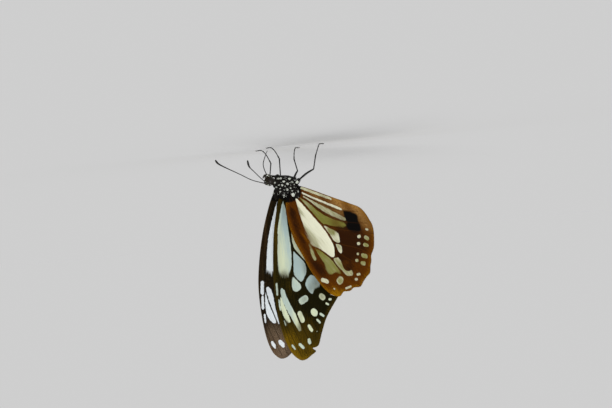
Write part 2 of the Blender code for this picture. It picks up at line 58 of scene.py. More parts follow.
# %% Directions and places
MM = 0.001
THORAX_CENTRE = np.array((4.579, 0.0, 13.4)) * MM
BODY_PITCH = math.radians(23)
FORWARD = np.array((math.cos(BODY_PITCH), 0.0, -math.sin(BODY_PITCH)))
UPWARD = np.array((math.sin(BODY_PITCH), 0.0, math.cos(BODY_PITCH)))
SIDEWAYS = np.array((0.0, 1.0, 0.0))
SIDES = ((1, "left"), (-1, "right"))
CHANCE = np.random.default_rng(11)


def body_point(place, side=1):
    """World metres of a place on the body, mirrored to the right where side is -1."""
    forward, beside, up = place
    return THORAX_CENTRE + (forward * FORWARD + beside * side * SIDEWAYS + up * UPWARD) * MM


def floor_point(place, side=1):
    """World metres of a place measured from the thorax centre along, and from the floor up."""
    x, y, z = place
    return np.array((THORAX_CENTRE[0] + x * MM, y * side * MM, z * MM))


def body_places(points):
    """Body millimetres (forward, beside, up) of many world points."""
    offsets = (points - THORAX_CENTRE) / MM
    return offsets @ np.column_stack((FORWARD, SIDEWAYS, UPWARD))


def smooth_route(route, steps):
    """Points on a Catmull-Rom curve through a route, with so many steps a stretch."""
    route = [np.array(point, float) for point in route]
    ends = [route[0] * 2 - route[1], *route, route[-1] * 2 - route[-2]]
    points = []
    for a, b, c, d in zip(ends, ends[1:], ends[2:], ends[3:]):
        for t in np.arange(steps) / steps:
            points.append(0.5 * (2 * b + (c - a) * t + (2 * a - 5 * b + 4 * c - d) * t**2
                                 + (3 * b - 3 * c + d - a) * t**3))
    return np.array(points + [route[-1]])


def unit(vectors):
    """The same directions at length one."""
    return vectors / np.maximum(np.linalg.norm(vectors, axis=-1, keepdims=True), 1e-12)


print("thorax centre:", THORAX_CENTRE, "forward:", FORWARD.round(3))

# %% [markdown]
# ## Shader sums as plain Python
# A butterfly's colours are masks laid over masks: panels, spots, veins and margins. Wiring
# them by hand in the node editor soon turns into a tangle, so one small class wraps a node's
# output and lets Python's own signs add the Math nodes. Every other node comes from its one
# general method, which sets the node's options first and then fills or links its sockets.

# %% The shader class
class Field:
    """One output of a shader node, on which Python's own signs build Math nodes."""

    def __init__(self, tree, socket=None):
        self.tree = tree
        self.socket = socket

    def node(self, kind, settings=None, sockets=None, output=0):
        """Add any node: its settings first, then the values or links of its sockets."""
        made = self.tree.nodes.new(kind)
        for name, value in (settings or {}).items():
            setattr(made, name, value)
        for name, value in (sockets or {}).items():
            if isinstance(value, Field):
                self.tree.links.new(value.socket, made.inputs[name])
            else:
                made.inputs[name].default_value = value
        return Field(self.tree, made.outputs[output])

    def math(self, operation, *values):
        return self.node("ShaderNodeMath", {"operation": operation}, dict(enumerate(values)))

    def __add__(self, other):
        return self.math("ADD", self, other)

    def __mul__(self, other):
        return self.math("MULTIPLY", self, other)

    def __sub__(self, other):
        return self.math("SUBTRACT", self, other)

    def __rsub__(self, other):
        return self.math("SUBTRACT", other, self)

    def __truediv__(self, other):
        return self.math("DIVIDE", self, other)

    __radd__ = __add__
    __rmul__ = __mul__

    def ramp(self, low, high):
        """A soft step from 0 at low to 1 at high."""
        sockets = {"Value": self, "From Min": low, "From Max": high}
        return self.node("ShaderNodeMapRange", {"interpolation_type": "SMOOTHSTEP"}, sockets)

    def number(self, name):
        """A number that the mesh keeps at each of its points."""
        return self.node("ShaderNodeAttribute", {"attribute_name": name}, output="Fac")

    def arrow(self, name):
        """A vector that the mesh keeps at each of its points."""
        return self.node("ShaderNodeAttribute", {"attribute_name": name}, output="Vector")

    def position(self):
        """Where the shaded point is, in world metres."""
        return self.node("ShaderNodeNewGeometry", output="Position")

    def noise(self, place, scale, detail=2.0):
        """Cloudy noise from 0 to 1 at a place."""
        sockets = {"Vector": place, "Scale": scale, "Detail": detail}
        return self.node("ShaderNodeTexNoise", sockets=sockets, output="Fac")

    def stretch(self, factors):
        """A place scaled by its own factor along each axis."""
        return self.node("ShaderNodeVectorMath", {"operation": "MULTIPLY"}, {0: self, 1: factors})

    def blend(self, first, second):
        """The first colour where this field is 0, and the second where it is 1."""
        sockets = {0: self, 6: first, 7: second}
        return self.node("ShaderNodeMix", {"data_type": "RGBA"}, sockets, output=2)

    def bump(self, strength, distance):
        """A normal that treats this field as a height."""
        return self.node("ShaderNodeBump",
                         sockets={"Height": self, "Strength": strength, "Distance": distance},
                         output="Normal")


def tone(red, green, blue):
    """A colour as a paint chart gives it, 0 to 255, turned into linear light."""
    parts = [value / 255 for value in (red, green, blue)]
    linear = [part / 12.92 if part <= 0.04045 else ((part + 0.055) / 1.055) ** 2.4 for part in parts]
    return (*linear, 1.0)


def start_finish(name, colour=None, **values):
    """A new material: its Principled shader and a field to build masks from."""
    material = bpy.data.materials.new(name)
    material.use_nodes = True
    shader = material.node_tree.nodes["Principled BSDF"]
    if colour:
        shader.inputs["Base Color"].default_value = colour
    for socket, value in values.items():
        shader.inputs[socket.replace("_", " ")].default_value = value
    return material, shader, Field(material.node_tree)


def feed(shader, socket, field):
    """Link a field to one socket of a shader."""
    field.tree.links.new(field.socket, shader.inputs[socket])


print("shader class ready:", [name for name in vars(Field) if not name.startswith("__")])

# %% [markdown]
# ## Horn, eyes and coat
# Legs, feelers and the sucking tube are bare black cuticle with a dull gloss, and a fine
# noise roughens them. The compound eyes are a deep brown, and a cell texture gives them
# facets. One flat colour would look like plastic, so each kind of coat gets two tones that a
# little noise mixes from place to place.

# %% Horn, eye and coat finishes
def horn_finish():
    """Black cuticle of legs, feelers, sucking tube and claws."""
    material, shader, start = start_finish("black_horn", tone(15, 13, 11), Roughness=0.5,
                                           Specular_IOR_Level=0.22)
    feed(shader, "Normal", start.noise(start.position(), 9000, 3.0).bump(0.35, 0.00002))
    return material


def eye_finish():
    """Deep brown facets with a soft gloss, packed like a honeycomb."""
    material, shader, start = start_finish("eye_lenses", tone(22, 15, 9), Roughness=0.48,
                                           Specular_IOR_Level=0.25)
    sockets = {"Vector": start.position(), "Scale": 30000, "Randomness": 0.25}
    cells = start.node("ShaderNodeTexVoronoi", {"feature": "F1"}, sockets, output="Distance")
    feed(shader, "Normal", (1 - cells).bump(0.3, 0.00001))
    return material


def coat_finish(name, dark, light):
    """One colour of tuft, varied a little from place to place."""
    material, shader, start = start_finish(name, Roughness=0.75, Specular_IOR_Level=0.15)
    feed(shader, "Base Color", start.noise(start.position(), 2500).ramp(0.35, 0.65).blend(dark, light))
    return material


HORN = horn_finish()
EYE = eye_finish()
BLACK_COAT = coat_finish("black_coat", tone(14, 12, 11), tone(38, 32, 28))
WHITE_COAT = coat_finish("white_coat", tone(214, 220, 206), tone(240, 242, 234))
print("finishes:", [material.name for material in (HORN, EYE, BLACK_COAT, WHITE_COAT)])

# %% [markdown]
# ## The skin
# The head, thorax and abdomen are rounded plates that meet in soft folds. One could sculpt
# them, but egg shapes set in the body's own directions say where each plate is in one line.
# Overlapping eggs show creases, so a voxel Remesh melts them into one closed skin and a
# Smooth modifier softens the joins. The skin lies a coat's depth inside the solids.

# %% Sizes of the body
COAT_DEPTH = 0.16
SKIN_VOXEL = 0.13
EGGS = [                                # place and radii, in body millimetres
    ((-0.1, 0.0, 0.3), (4.3, 3.0, 3.6)),            # thorax
    ((3.9, 0.0, -0.3), (1.8, 1.75, 2.0)),           # collar
    ((-2.7, 0.0, 0.4), (2.3, 2.5, 2.9)),            # rump
    ((5.5, 0.0, -0.1), (1.2, 1.05, 1.2)),           # neck
    ((6.95, 0.0, 0.0), (1.6, 1.6, 1.75)),           # head
    ((7.95, 0.0, 0.0), (1.0, 0.9, 1.25)),           # brow
]
PAIRED_EGGS = [
    ((2.7, 1.6, 2.0), (1.1, 0.6, 1.2)),             # shoulder plate
    ((1.5, 2.3, 2.7), (1.9, 0.85, 1.9)),            # forewing root
    ((-1.7, 2.95, 1.7), (2.2, 1.05, 2.1)),          # hindwing root
    ((8.25, 0.58, 1.25), (0.42, 0.42, 0.42)),       # feeler socket
]
COXAE = {
    "foreleg": ([(3.4, 0.9, -1.3), (3.9, 1.2, -1.9), (4.6, 1.5, -2.3)], (0.6, 0.5, 0.35)),
    "midleg": ([(0.9, 1.0, -2.2), (0.0, 1.5, -3.0), (-1.2, 1.9, -3.7)], (0.9, 0.8, 0.5)),
    "hindleg": ([(-1.9, 1.0, -1.6), (-2.3, 1.5, -2.8), (-2.6, 1.9, -3.9)], (0.9, 0.8, 0.5)),
}
PALP = ([(7.6, 0.58, -1.4), (8.9, 0.62, -1.3), (9.5, 0.62, 0.0)], (0.36, 0.42, 0.18))
ABDOMEN_PLACE = (-4.0, 0.0, 0.6)
ABDOMEN_LENGTH = 17.5
ABDOMEN_RADIUS = 1.9
ABDOMEN_SEGMENTS = 8
ABDOMEN_ROWS = 6                        # rows of points in each segment
ABDOMEN_SIDES = 40
ABDOMEN_STEP = 0.07                     # how much wider each segment's rear edge is
ABDOMEN_TILT = math.radians(3)
ABDOMEN_AXIS = UPWARD * math.sin(ABDOMEN_TILT) - FORWARD * math.cos(ABDOMEN_TILT)
EYE_PLACE = (7.15, 1.2, 0.2)
EYE_RADII = (1.1, 0.95, 1.25)
print("eggs:", len(EGGS) + 2 * len(PAIRED_EGGS), "abdomen length (mm):", ABDOMEN_LENGTH)

# %% Modelling helpers
def show(name, mesh, material, slot, *nodes):
    """Put a mesh in the scene as a smooth piece that rides on the body, in place of its nodes."""
    piece = bpy.data.objects.new(name, mesh)
    bpy.context.scene.collection.objects.link(piece)
    mesh.materials.clear()
    mesh.materials.append(material)
    mesh.shade_smooth()
    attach(piece, "root")
    if nodes:
        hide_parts(*nodes)
    return piece


def baked(thing):
    """The mesh that an object makes with its modifiers or bevel; the object is removed."""
    bpy.context.scene.collection.objects.link(thing)
    bpy.context.view_layer.update()
    shaped = thing.evaluated_get(bpy.context.evaluated_depsgraph_get())
    mesh = bpy.data.meshes.new_from_object(shaped)
    mesh.transform(thing.matrix_world)
    bpy.data.objects.remove(thing)
    return mesh


# %% Bars and eggs
def bar(route, radii, steps=6, roundness=4):
    """A round bar along a smooth route in metres; its millimetre radii are spread over it."""
    points = smooth_route(route, steps)
    curve = bpy.data.curves.new("bar", "CURVE")
    curve.dimensions = "3D"
    curve.bevel_depth = MM
    curve.bevel_resolution = roundness
    curve.use_fill_caps = True
    spline = curve.splines.new("POLY")
    spline.points.add(len(points) - 1)
    stops = np.linspace(0, 1, len(radii))
    widths = np.interp(np.linspace(0, 1, len(points)), stops, radii)
    points[:, 2] = np.maximum(points[:, 2], widths * MM)        # nothing sinks into the floor
    for corner, point, width in zip(spline.points, points, widths):
        corner.co = (*point, 1)
        corner.radius = width
    return baked(bpy.data.objects.new("bar", curve))


def egg(place, radii, side=1, grow=0.0, fineness=4):
    """A round egg in the body's own directions, from a place and radii in millimetres."""
    axes = [direction * (radius + grow) * MM for direction, radius in
            zip((FORWARD, SIDEWAYS, UPWARD), radii)]
    bm = bmesh.new()
    bmesh.ops.create_icosphere(bm, subdivisions=fineness, radius=1)
    turn = Matrix([Vector(axis) for axis in axes]).transposed().to_4x4()
    centre = Matrix.Translation(body_point(place, side))
    bmesh.ops.transform(bm, matrix=centre @ turn, verts=bm.verts)
    return close_edit(bm, "egg")


def close_edit(bm, name):
    """A mesh from an edit mesh, which is freed."""
    mesh = bpy.data.meshes.new(name)
    bm.to_mesh(mesh)
    bm.free()
    return mesh


def gather(name, meshes):
    """Several meshes as one; the meshes they came from are removed."""
    bm = bmesh.new()
    for mesh in meshes:
        bm.from_mesh(mesh)
        bpy.data.meshes.remove(mesh)
    return close_edit(bm, name)


print("helpers ready")

# %% [markdown]
# ### The abdomen
# Eight rings slide into one another like a telescope, each a little wider at its rear edge.
# The real one is a tube that narrows to the tail, so a profile turned by a Screw modifier
# suits it better than eggs would. Two small claspers close a male's tail.

# %% Abdomen
def abdomen_mesh():
    """The ringed tube of the abdomen, laid along its axis."""
    rows = ABDOMEN_SEGMENTS * ABDOMEN_ROWS
    bm = bmesh.new()
    chain = [bm.verts.new((0, 0, 0))]
    for row in range(rows + 1):
        t = row / rows
        ring = (t * ABDOMEN_SEGMENTS) % 1
        radius = ABDOMEN_RADIUS * math.sin(math.pi * (0.22 + 0.68 * t)) ** 0.7 - COAT_DEPTH * 0.4
        radius *= 1 + ABDOMEN_STEP * (ring - 0.5)
        chain.append(bm.verts.new((radius * MM, 0, -t * ABDOMEN_LENGTH * MM)))
    chain.append(bm.verts.new((0, 0, -(ABDOMEN_LENGTH + 0.3) * MM)))
    for above, below in zip(chain, chain[1:]):
        bm.edges.new((above, below))
    turned = bpy.data.objects.new("abdomen", close_edit(bm, "abdomen"))
    screw = turned.modifiers.new("screw", "SCREW")
    screw.steps = screw.render_steps = ABDOMEN_SIDES
    screw.use_merge_vertices = True
    screw.merge_threshold = 0.001 * MM
    screw.use_normal_calculate = True
    turn = Vector(-ABDOMEN_AXIS).to_track_quat("Z", "Y").to_matrix().to_4x4()
    turned.matrix_world = Matrix.Translation(body_point(ABDOMEN_PLACE)) @ turn
    return baked(turned)


def clasper_mesh(side):
    """One of the two small valves that close a male's tail."""
    tail = body_point(ABDOMEN_PLACE) + ABDOMEN_AXIS * (ABDOMEN_LENGTH - 1.4) * MM
    route = [tail + SIDEWAYS * side * 0.3 * MM + ABDOMEN_AXIS * along * MM for along in (0.0, 0.8, 1.5)]
    return bar(route, (0.55, 0.45, 0.2))


print("abdomen rows:", ABDOMEN_SEGMENTS * ABDOMEN_ROWS, "sides:", ABDOMEN_SIDES)


# %% One skin
def skin_mesh():
    """Every egg, hip, palp and the abdomen, melted into one smooth closed skin."""
    forms = [egg(place, radii, 1, -COAT_DEPTH) for place, radii in EGGS]
    for side, _ in SIDES:
        forms += [egg(place, radii, side, -COAT_DEPTH) for place, radii in PAIRED_EGGS]
        for route, radii in [*COXAE.values(), PALP]:
            slim = [radius - COAT_DEPTH * 0.6 for radius in radii]
            forms.append(bar([body_point(place, side) for place in route], slim))
        forms.append(clasper_mesh(side))
    melt = bpy.data.objects.new("skin", gather("skin", [*forms, abdomen_mesh()]))
    remesh = melt.modifiers.new("remesh", "REMESH")
    remesh.mode = "VOXEL"
    remesh.voxel_size = SKIN_VOXEL * MM
    smooth = melt.modifiers.new("smooth", "SMOOTH")
    smooth.factor = 0.5
    smooth.iterations = 2
    return baked(melt)


def mesh_points(mesh):
    """The points of a mesh as an array."""
    points = np.empty(len(mesh.vertices) * 3)
    mesh.vertices.foreach_get("co", points)
    return points.reshape(-1, 3)


SKIN = skin_mesh()
print("skin faces:", len(SKIN.polygons), "points:", len(SKIN.vertices))

# %% [markdown]
# ## White dots and belly bands
# The black thorax is peppered with white dots, a warning that this group of butterflies
# shares. Each dot is listed once, by its place on the body and its radius, and mirrored. The
# skin keeps the distance to the nearest dot at each point, so the shader paints it white
# there, and later the coat reads the same list to grow white tufts.

# %% Dots
DOTS = [                                # forward, beside, up and radius, in body millimetres
    (3.2, 1.9, 0.3, 0.34), (1.4, 2.7, 1.3, 0.5), (-0.6, 3.8, 2.5, 0.66), (0.9, 3.5, 3.6, 0.42),
    (-1.9, 2.2, -2.5, 0.5), (0.0, 2.3, -2.0, 0.5), (1.7, 2.6, -0.7, 0.46), (2.9, 1.8, -1.2, 0.42),
    (-2.6, 2.9, -0.8, 0.52), (-2.2, 3.8, 0.7, 0.42), (-1.1, 2.9, -0.3, 0.42), (4.1, 1.6, 0.6, 0.3),
    (3.2, 2.0, 2.7, 0.36), (2.2, 3.0, 3.6, 0.34), (0.3, 2.9, 0.4, 0.34), (-3.6, 2.2, 0.6, 0.4),
    (4.7, 0.9, -1.7, 0.5), (4.1, 1.7, -1.7, 0.34), (1.1, 1.8, -2.8, 0.45), (2.5, 0.6, -3.0, 0.42),
    (0.4, 0.7, -3.3, 0.4), (-1.2, 0.7, -3.2, 0.4), (2.6, 0.9, 3.1, 0.36), (0.6, 1.2, 3.6, 0.34),
    (-1.6, 1.0, 3.4, 0.4), (-3.2, 0.8, 2.9, 0.34), (4.5, 0.7, 1.5, 0.32), (5.5, 1.0, 0.2, 0.26),
    (6.3, 0.5, 1.6, 0.24), (7.4, 0.3, 1.7, 0.22), (8.6, 0.2, 0.9, 0.2), (8.3, 0.75, -0.9, 0.24),
    (6.5, 1.1, -1.3, 0.26), (7.3, 0.6, -1.6, 0.3), (8.9, 0.85, -1.2, 0.28),
    (2.3, 2.4, 0.4, 0.22), (0.6, 2.9, -0.6, 0.2), (-0.2, 3.3, 1.3, 0.24), (-1.3, 3.5, 1.6, 0.22),
    (2.4, 2.5, 1.9, 0.24), (3.5, 1.8, 1.6, 0.2), (3.6, 1.6, -0.5, 0.22), (0.9, 2.7, -1.5, 0.24),
    (-0.9, 2.7, -1.4, 0.26), (-2.9, 2.8, 1.6, 0.26), (-3.2, 2.3, -1.5, 0.24), (2.1, 1.7, -2.2, 0.22),
    (-0.6, 1.8, -2.9, 0.24), (0.5, 3.5, 3.9, 0.36), (-3.0, 3.6, 2.6, 0.3), (0.9, 3.0, 2.3, 0.26),
    (2.2, 2.9, 2.8, 0.2), (1.9, 3.1, 4.3, 0.22), (5.9, 1.1, -0.9, 0.18), (8.0, 0.9, 0.9, 0.16),
]
SKIN_TREE = BVHTree.FromPolygons([tuple(point) for point in mesh_points(SKIN)],
                                 [tuple(face.vertices) for face in SKIN.polygons])


def on_skin(place, side):
    """The point of the skin that is nearest to a body place, and the skin's normal there."""
    point, normal, _, _ = SKIN_TREE.find_nearest(Vector(body_point(place, side)))
    return np.array(point), np.array(normal)


DOT_CENTRES = np.array([on_skin(dot[:3], side)[0] for side, _ in SIDES for dot in DOTS])
DOT_RADII = np.array([dot[3] for _ in SIDES for dot in DOTS])


def dot_depth(points):
    """How far inside the nearest dot each point is, in millimetres; negative outside."""
    apart = np.linalg.norm(points[:, None] - DOT_CENTRES[None], axis=2) / MM
    return (DOT_RADII - apart).max(axis=1)


def abdomen_places(points):
    """Along the abdomen from its front, in segments, and the share of the belly side."""
    offsets = (points - body_point(ABDOMEN_PLACE)) / MM
    along = offsets @ ABDOMEN_AXIS
    beside = offsets @ SIDEWAYS
    up = offsets @ np.cross(SIDEWAYS, ABDOMEN_AXIS)
    belly = -up / np.maximum(np.hypot(up, beside), 0.01)
    return along * ABDOMEN_SEGMENTS / ABDOMEN_LENGTH, belly


def keep(mesh, name, values, kind="FLOAT"):
    """Store one number, or one vector, at each point of a mesh."""
    field = "value" if kind == "FLOAT" else "vector"
    layer = mesh.attributes.new(name, kind, "POINT")
    layer.data.foreach_set(field, np.asarray(values, np.float32).ravel())


skin_points = mesh_points(SKIN)
segment, belly = abdomen_places(skin_points)
keep(SKIN, "dot", dot_depth(skin_points))
keep(SKIN, "segment", segment)
keep(SKIN, "belly", belly)
print("dots:", len(DOT_RADII), "white points:", int((dot_depth(skin_points) > 0).sum()))

# %% [markdown]
# ### The skin's finish
# Under the coat the cuticle is black. On the abdomen it turns dark chestnut, and each ring
# of the belly carries a greyish white band. All of it is read from the numbers kept above,
# so that the skin and the tufts that grow on it agree.

# %% Skin finish
def skin_finish():
    """Black skin with white dots, and a chestnut abdomen with pale rings below."""
    material, shader, start = start_finish("body_cuticle", Roughness=0.72, Specular_IOR_Level=0.2)
    grain = start.noise(start.position(), 5000, 3.0)
    segment = start.number("segment")
    rear = segment.ramp(-0.6, 0.4)
    ring = segment.math("FRACT", segment)
    band = ring.ramp(0.45, 0.6) * (1 - ring.ramp(0.85, 0.97)) * start.number("belly").ramp(-0.05, 0.4)
    brown = grain.blend(tone(30, 20, 14), tone(74, 46, 28))
    black = grain.blend(tone(10, 9, 8), tone(30, 26, 23))
    rings = (band * rear).blend(rear.blend(black, brown), tone(196, 190, 172))
    dots = (start.number("dot") + (grain - 0.5) * 0.12).ramp(-0.04, 0.06)
    feed(shader, "Base Color", dots.blend(rings, tone(226, 230, 218)))
    feed(shader, "Normal", grain.bump(0.6, 0.00004))
    return material


show("body_skin", SKIN, skin_finish(), "body_scales", "head", "thorax", "abdomen", "palp_left",
     "palp_right")
print("body skin shown")

# %% [markdown]
# ### An unwrap for baking
# When the model is exported, its colours are baked to pictures, and that needs a flat map of
# the skin. The body is close to a tube, so the angle round it and the place along it make a
# good map. Each tuft of the coat later borrows a tiny patch of this map at its own root.

# %% Tube unwrap
BODY_AXIS_UP = 0.3
MAP_REACH = (-23.0, 11.0)               # body millimetres that the map's height covers
MAP_MARGIN = 0.04                       # clear edge of the map
MAP_SPAN = 1 - 2 * MAP_MARGIN


def tube_map(points):
    """Map places, 0 to 1, from the angle round the body and the place along it."""
    places = body_places(points)
    turn = np.arctan2(places[:, 1], places[:, 2] - BODY_AXIS_UP) / (2 * math.pi) + 0.5
    along = (places[:, 0] - MAP_REACH[0]) / (MAP_REACH[1] - MAP_REACH[0])
    return MAP_MARGIN + MAP_SPAN * np.column_stack((turn, along))


def unwrap_tube(mesh):
    """The bake map of the skin, with faces over the seam kept whole."""
    corners = np.empty(len(mesh.loops), int)
    mesh.loops.foreach_get("vertex_index", corners)
    places = tube_map(mesh_points(mesh))[corners]
    starts = np.empty(len(mesh.polygons), int)
    mesh.polygons.foreach_get("loop_start", starts)
    totals = np.empty(len(mesh.polygons), int)
    mesh.polygons.foreach_get("loop_total", totals)
    first = np.repeat(places[starts, 0], totals)
    places[:, 0] -= np.round((places[:, 0] - first) / MAP_SPAN) * MAP_SPAN
    mesh.uv_layers.new(name="OFBake").data.foreach_set("uv", places.ravel().astype(np.float32))


unwrap_tube(SKIN)
print("skin map made for", len(SKIN.loops), "corners")

# %% [markdown]
# ## The coat
# Close up, a butterfly's body is furry. Particle hair would vanish on export, so each tuft is
# a small solid vane: a three-sided blade, sunk in the skin, bent back along the body and
# tapered to a tip. One function lays thousands of them from arrays of roots, normals and
# directions. The same function later makes leg bristles and the fringe of the wings.

# %% Tufts
TUFT_PATCH = 0.003                      # width of a tuft's patch on the bake map
TUFT_STEPS = (0.0, 0.45, 1.0)           # rings of a tuft along its length
TUFT_WIDTHS = (1.0, 0.75)               # its half width there, and 0 at the tip
TUFT_CREST = 0.7                        # height of its ridge, in half widths
TUFT_SINK = 0.6                         # depth of its root in the skin, in half widths


def tuft_mesh(name, roots, normals, flows, lengths, widths, lifts, patches):
    """Tapered three-sided vanes, one at each root, with a bake map from their patches."""
    sides = unit(np.cross(flows, normals))
    points = []
    for step, width in zip(TUFT_STEPS, (*TUFT_WIDTHS, 0.0)):
        lift = lifts * (1 - 0.5 * step)
        along = flows * np.cos(lift)[:, None] + normals * np.sin(lift)[:, None]
        sunk = normals * (widths * TUFT_SINK * (1 - step))[:, None]
        centre = roots + along * (lengths * step)[:, None] - sunk
        if width == 0.0:
            points.append(centre)
            continue
        half = (widths * width)[:, None]
        points += [centre + sides * half, centre + normals * half * TUFT_CREST, centre - sides * half]
    count = len(roots)
    points = np.stack(points, axis=1).reshape(-1, 3)
    faces = []
    for a, b in ((1, 0), (2, 1), (0, 2)):
        faces += [(a, b, b + 3), (a, b + 3, a + 3), (a + 3, b + 3, 6)]
    faces = np.array(faces)
    triangles = (np.arange(count)[:, None, None] * 7 + faces[None]).reshape(-1, 3)
    mesh = bpy.data.meshes.new(name)
    mesh.from_pydata(points, [], triangles)
    spots = np.array([(-1, -1), (0, -1), (1, -1), (-1, 0), (0, 0), (1, 0), (0, 1)]) * TUFT_PATCH / 2
    places = np.asarray(patches)[:, None] + spots[None]
    corners = (places[:, faces.ravel()]).reshape(-1, 2)
    mesh.uv_layers.new(name="OFBake").data.foreach_set("uv", corners.ravel().astype(np.float32))
    return mesh


def scattered(mesh, number):
    """So many random points over a mesh, as likely anywhere on its surface, and normals."""
    mesh.calc_loop_triangles()
    corners = np.empty(len(mesh.loop_triangles) * 3, int)
    mesh.loop_triangles.foreach_get("vertices", corners)
    corners = mesh_points(mesh)[corners.reshape(-1, 3)]
    across, along = corners[:, 1] - corners[:, 0], corners[:, 2] - corners[:, 0]
    normals = np.cross(across, along)
    areas = np.linalg.norm(normals, axis=1)
    picks = CHANCE.choice(len(areas), number, p=areas / areas.sum())
    a, b = CHANCE.random((2, number, 1))
    a, b = np.where(a + b > 1, 1 - a, a), np.where(a + b > 1, 1 - b, b)
    return corners[picks, 0] + a * across[picks] + b * along[picks], unit(normals[picks])


def skin_samples(mesh, apart, wanted, crowding=3.0):
    """Evenly scattered points of a mesh that keep a distance from one another."""
    area = sum(face.area for face in mesh.polygons) / MM**2
    points, normals = scattered(mesh, int(crowding * area / apart**2))
    fits = wanted(points)
    points, normals = points[fits], normals[fits]
    tree = KDTree(len(points))
    for index, point in enumerate(points):
        tree.insert(point, index)
    tree.balance()
    free = np.ones(len(points), bool)
    for index, point in enumerate(points):
        if free[index]:
            near = [other for _, other, _ in tree.find_range(point, apart * MM) if other > index]
            free[near] = False
    return points[free], normals[free]


def lie_back(normals, jitter=0.25):
    """Directions in the skin that point to the tail, each a little astray."""
    flows = -FORWARD + CHANCE.normal(0, jitter, normals.shape)
    return unit(flows - normals * (flows * normals).sum(axis=1, keepdims=True))


print("tuft rings:", len(TUFT_STEPS), "widths:", TUFT_WIDTHS)

# %% Where the coat grows
THORAX_REAR = -4.6
HEAD_FRONT = 5.6
EYE_CLEARANCE = 1.05


def eye_depth(places):
    """Below one where a body place is inside an eye."""
    mirrored = places * (1, 0, 1) + np.abs(places) * (0, 1, 0)
    return np.linalg.norm((mirrored - EYE_PLACE) / EYE_RADII, axis=1)


def coat(name, material, apart, wanted, length, width, lift):
    """One kind of tuft over the part of the skin that is wanted."""
    roots, normals = skin_samples(SKIN, apart, wanted)
    spread = CHANCE.uniform(0.7, 1.3, len(roots))
    lifts = CHANCE.normal(lift, 0.12, len(roots))
    mesh = tuft_mesh(name, roots, normals, lie_back(normals), length * MM * spread,
                     width * MM * spread, lifts, tube_map(roots))
    show(name, mesh, material, "body_scales")
    print(name, "tufts:", len(roots), "triangles:", len(mesh.polygons))


def on_thorax(points):
    """Black hairy skin of the thorax, outside the dots."""
    places = body_places(points)
    return (places[:, 0] > THORAX_REAR) & (places[:, 0] < HEAD_FRONT) & (dot_depth(points) < 0)


def on_head(points):
    """Black hairy skin of the head and palps, outside the dots and eyes."""
    places = body_places(points)
    return (places[:, 0] >= HEAD_FRONT) & (dot_depth(points) < 0) & (eye_depth(places) > EYE_CLEARANCE)


def on_dots(points):
    """White dots on the head and thorax."""
    return (dot_depth(points) > 0.02) & (eye_depth(body_places(points)) > EYE_CLEARANCE)


def on_abdomen(points):
    """Dark skin of the abdomen, between the pale bands of the belly."""
    segment, belly = abdomen_places(points)
    band = ((segment % 1) > 0.5) & ((segment % 1) < 0.9) & (belly > 0.2)
    return (body_places(points)[:, 0] <= THORAX_REAR) & ~band


def on_bands(points):
    """Pale rings below the abdomen."""
    return (body_places(points)[:, 0] <= THORAX_REAR) & ~on_abdomen(points)


print("the head's coat starts at (mm):", HEAD_FRONT, "and the abdomen's at:", THORAX_REAR)

# %% Grow the coat
BROWN_COAT = coat_finish("brown_coat", tone(28, 19, 13), tone(82, 52, 32))
GREY_COAT = coat_finish("grey_coat", tone(160, 154, 136), tone(212, 208, 192))
FACE_COAT = coat_finish("face_coat", tone(13, 11, 8), tone(70, 57, 30))
SPARSE = 1.0
COATS = [                               # spacing, length, half width and lift of each kind
    ("thorax_coat", BLACK_COAT, on_thorax, 0.09, 0.6, 0.026, 0.34),
    ("head_coat", FACE_COAT, on_head, 0.072, 0.36, 0.019, 0.55),
    ("white_dots", WHITE_COAT, on_dots, 0.055, 0.22, 0.03, 0.45),
    ("abdomen_coat", BROWN_COAT, on_abdomen, 0.13, 0.3, 0.045, 0.13),
    ("belly_bands", GREY_COAT, on_bands, 0.13, 0.3, 0.045, 0.13),
]
for name, finish, wanted, apart, length, width, lift in COATS:
    coat(name, finish, apart * SPARSE, wanted, length, width, lift)

# %% [markdown]
# ## Eyes
# A compound eye is a smooth dome of thousands of lenses. It stays a piece of its own, set in
# the side of the head with its rim hidden by the coat.

# %% Eyes
for side, word in SIDES:
    dome = egg(EYE_PLACE, EYE_RADII, side, 0.0, 5)
    show(f"compound_eye_{word}", dome, EYE, "eye_facets", f"eye_{word}")
print("eyes made")

# %% [markdown]
# ## Legs
# A butterfly of this family walks on four legs; the front pair is folded small against the
# chest. Each walking leg is a thigh, a shin and a foot of five short joints, all thinner
# than the solids that carry them, with bristles down the shin and foot and a pair of hooked
# claws. Beveled curves make the limbs, because their width can be given along the way.

# %% Leg sizes
LEG_JOINTS = {
    "midleg_right": [(4.6, 4.0, 9.5), (6.0, 6.5, 3.9), (7.6, 6.8, 1.4), (9.2, 7.1, 0.2), (10.6, 7.3, 0.2)],
    "midleg_left": [(3.6, 4.0, 8.9), (1.1, 6.6, 4.7), (1.9, 7.9, 1.6), (3.1, 8.6, 0.2), (4.4, 9.0, 0.2)],
    "hindleg_right": [(-8.2, 4.5, 8.1), (-7.3, 7.8, 3.9), (-7.8, 8.5, 1.9), (-8.5, 9.0, 0.2),
                      (-9.5, 9.2, 0.2)],
    "hindleg_left": [(-7.7, 4.5, 7.9), (-8.5, 7.2, 3.9), (-9.3, 7.9, 1.6), (-10.2, 8.3, 0.2),
                     (-11.4, 8.6, 0.2)],
}
FORELEG = [(4.6, 1.5, -2.3), (5.8, 2.0, -2.3), (6.6, 1.9, -1.6)]
FORELEG_RADII = (0.26, 0.28, 0.16)
FEMUR_RADII = (0.24, 0.34, 0.33, 0.3, 0.22)
TIBIA_RADII = (0.2, 0.19, 0.18, 0.19, 0.23)
FOOT_RADII = (0.18, 0.15, 0.15, 0.14, 0.13)
FOOT_JOINT_SWELL = 1.25
CLAW_LENGTH = 0.6
CLAW_SPREAD = 0.28
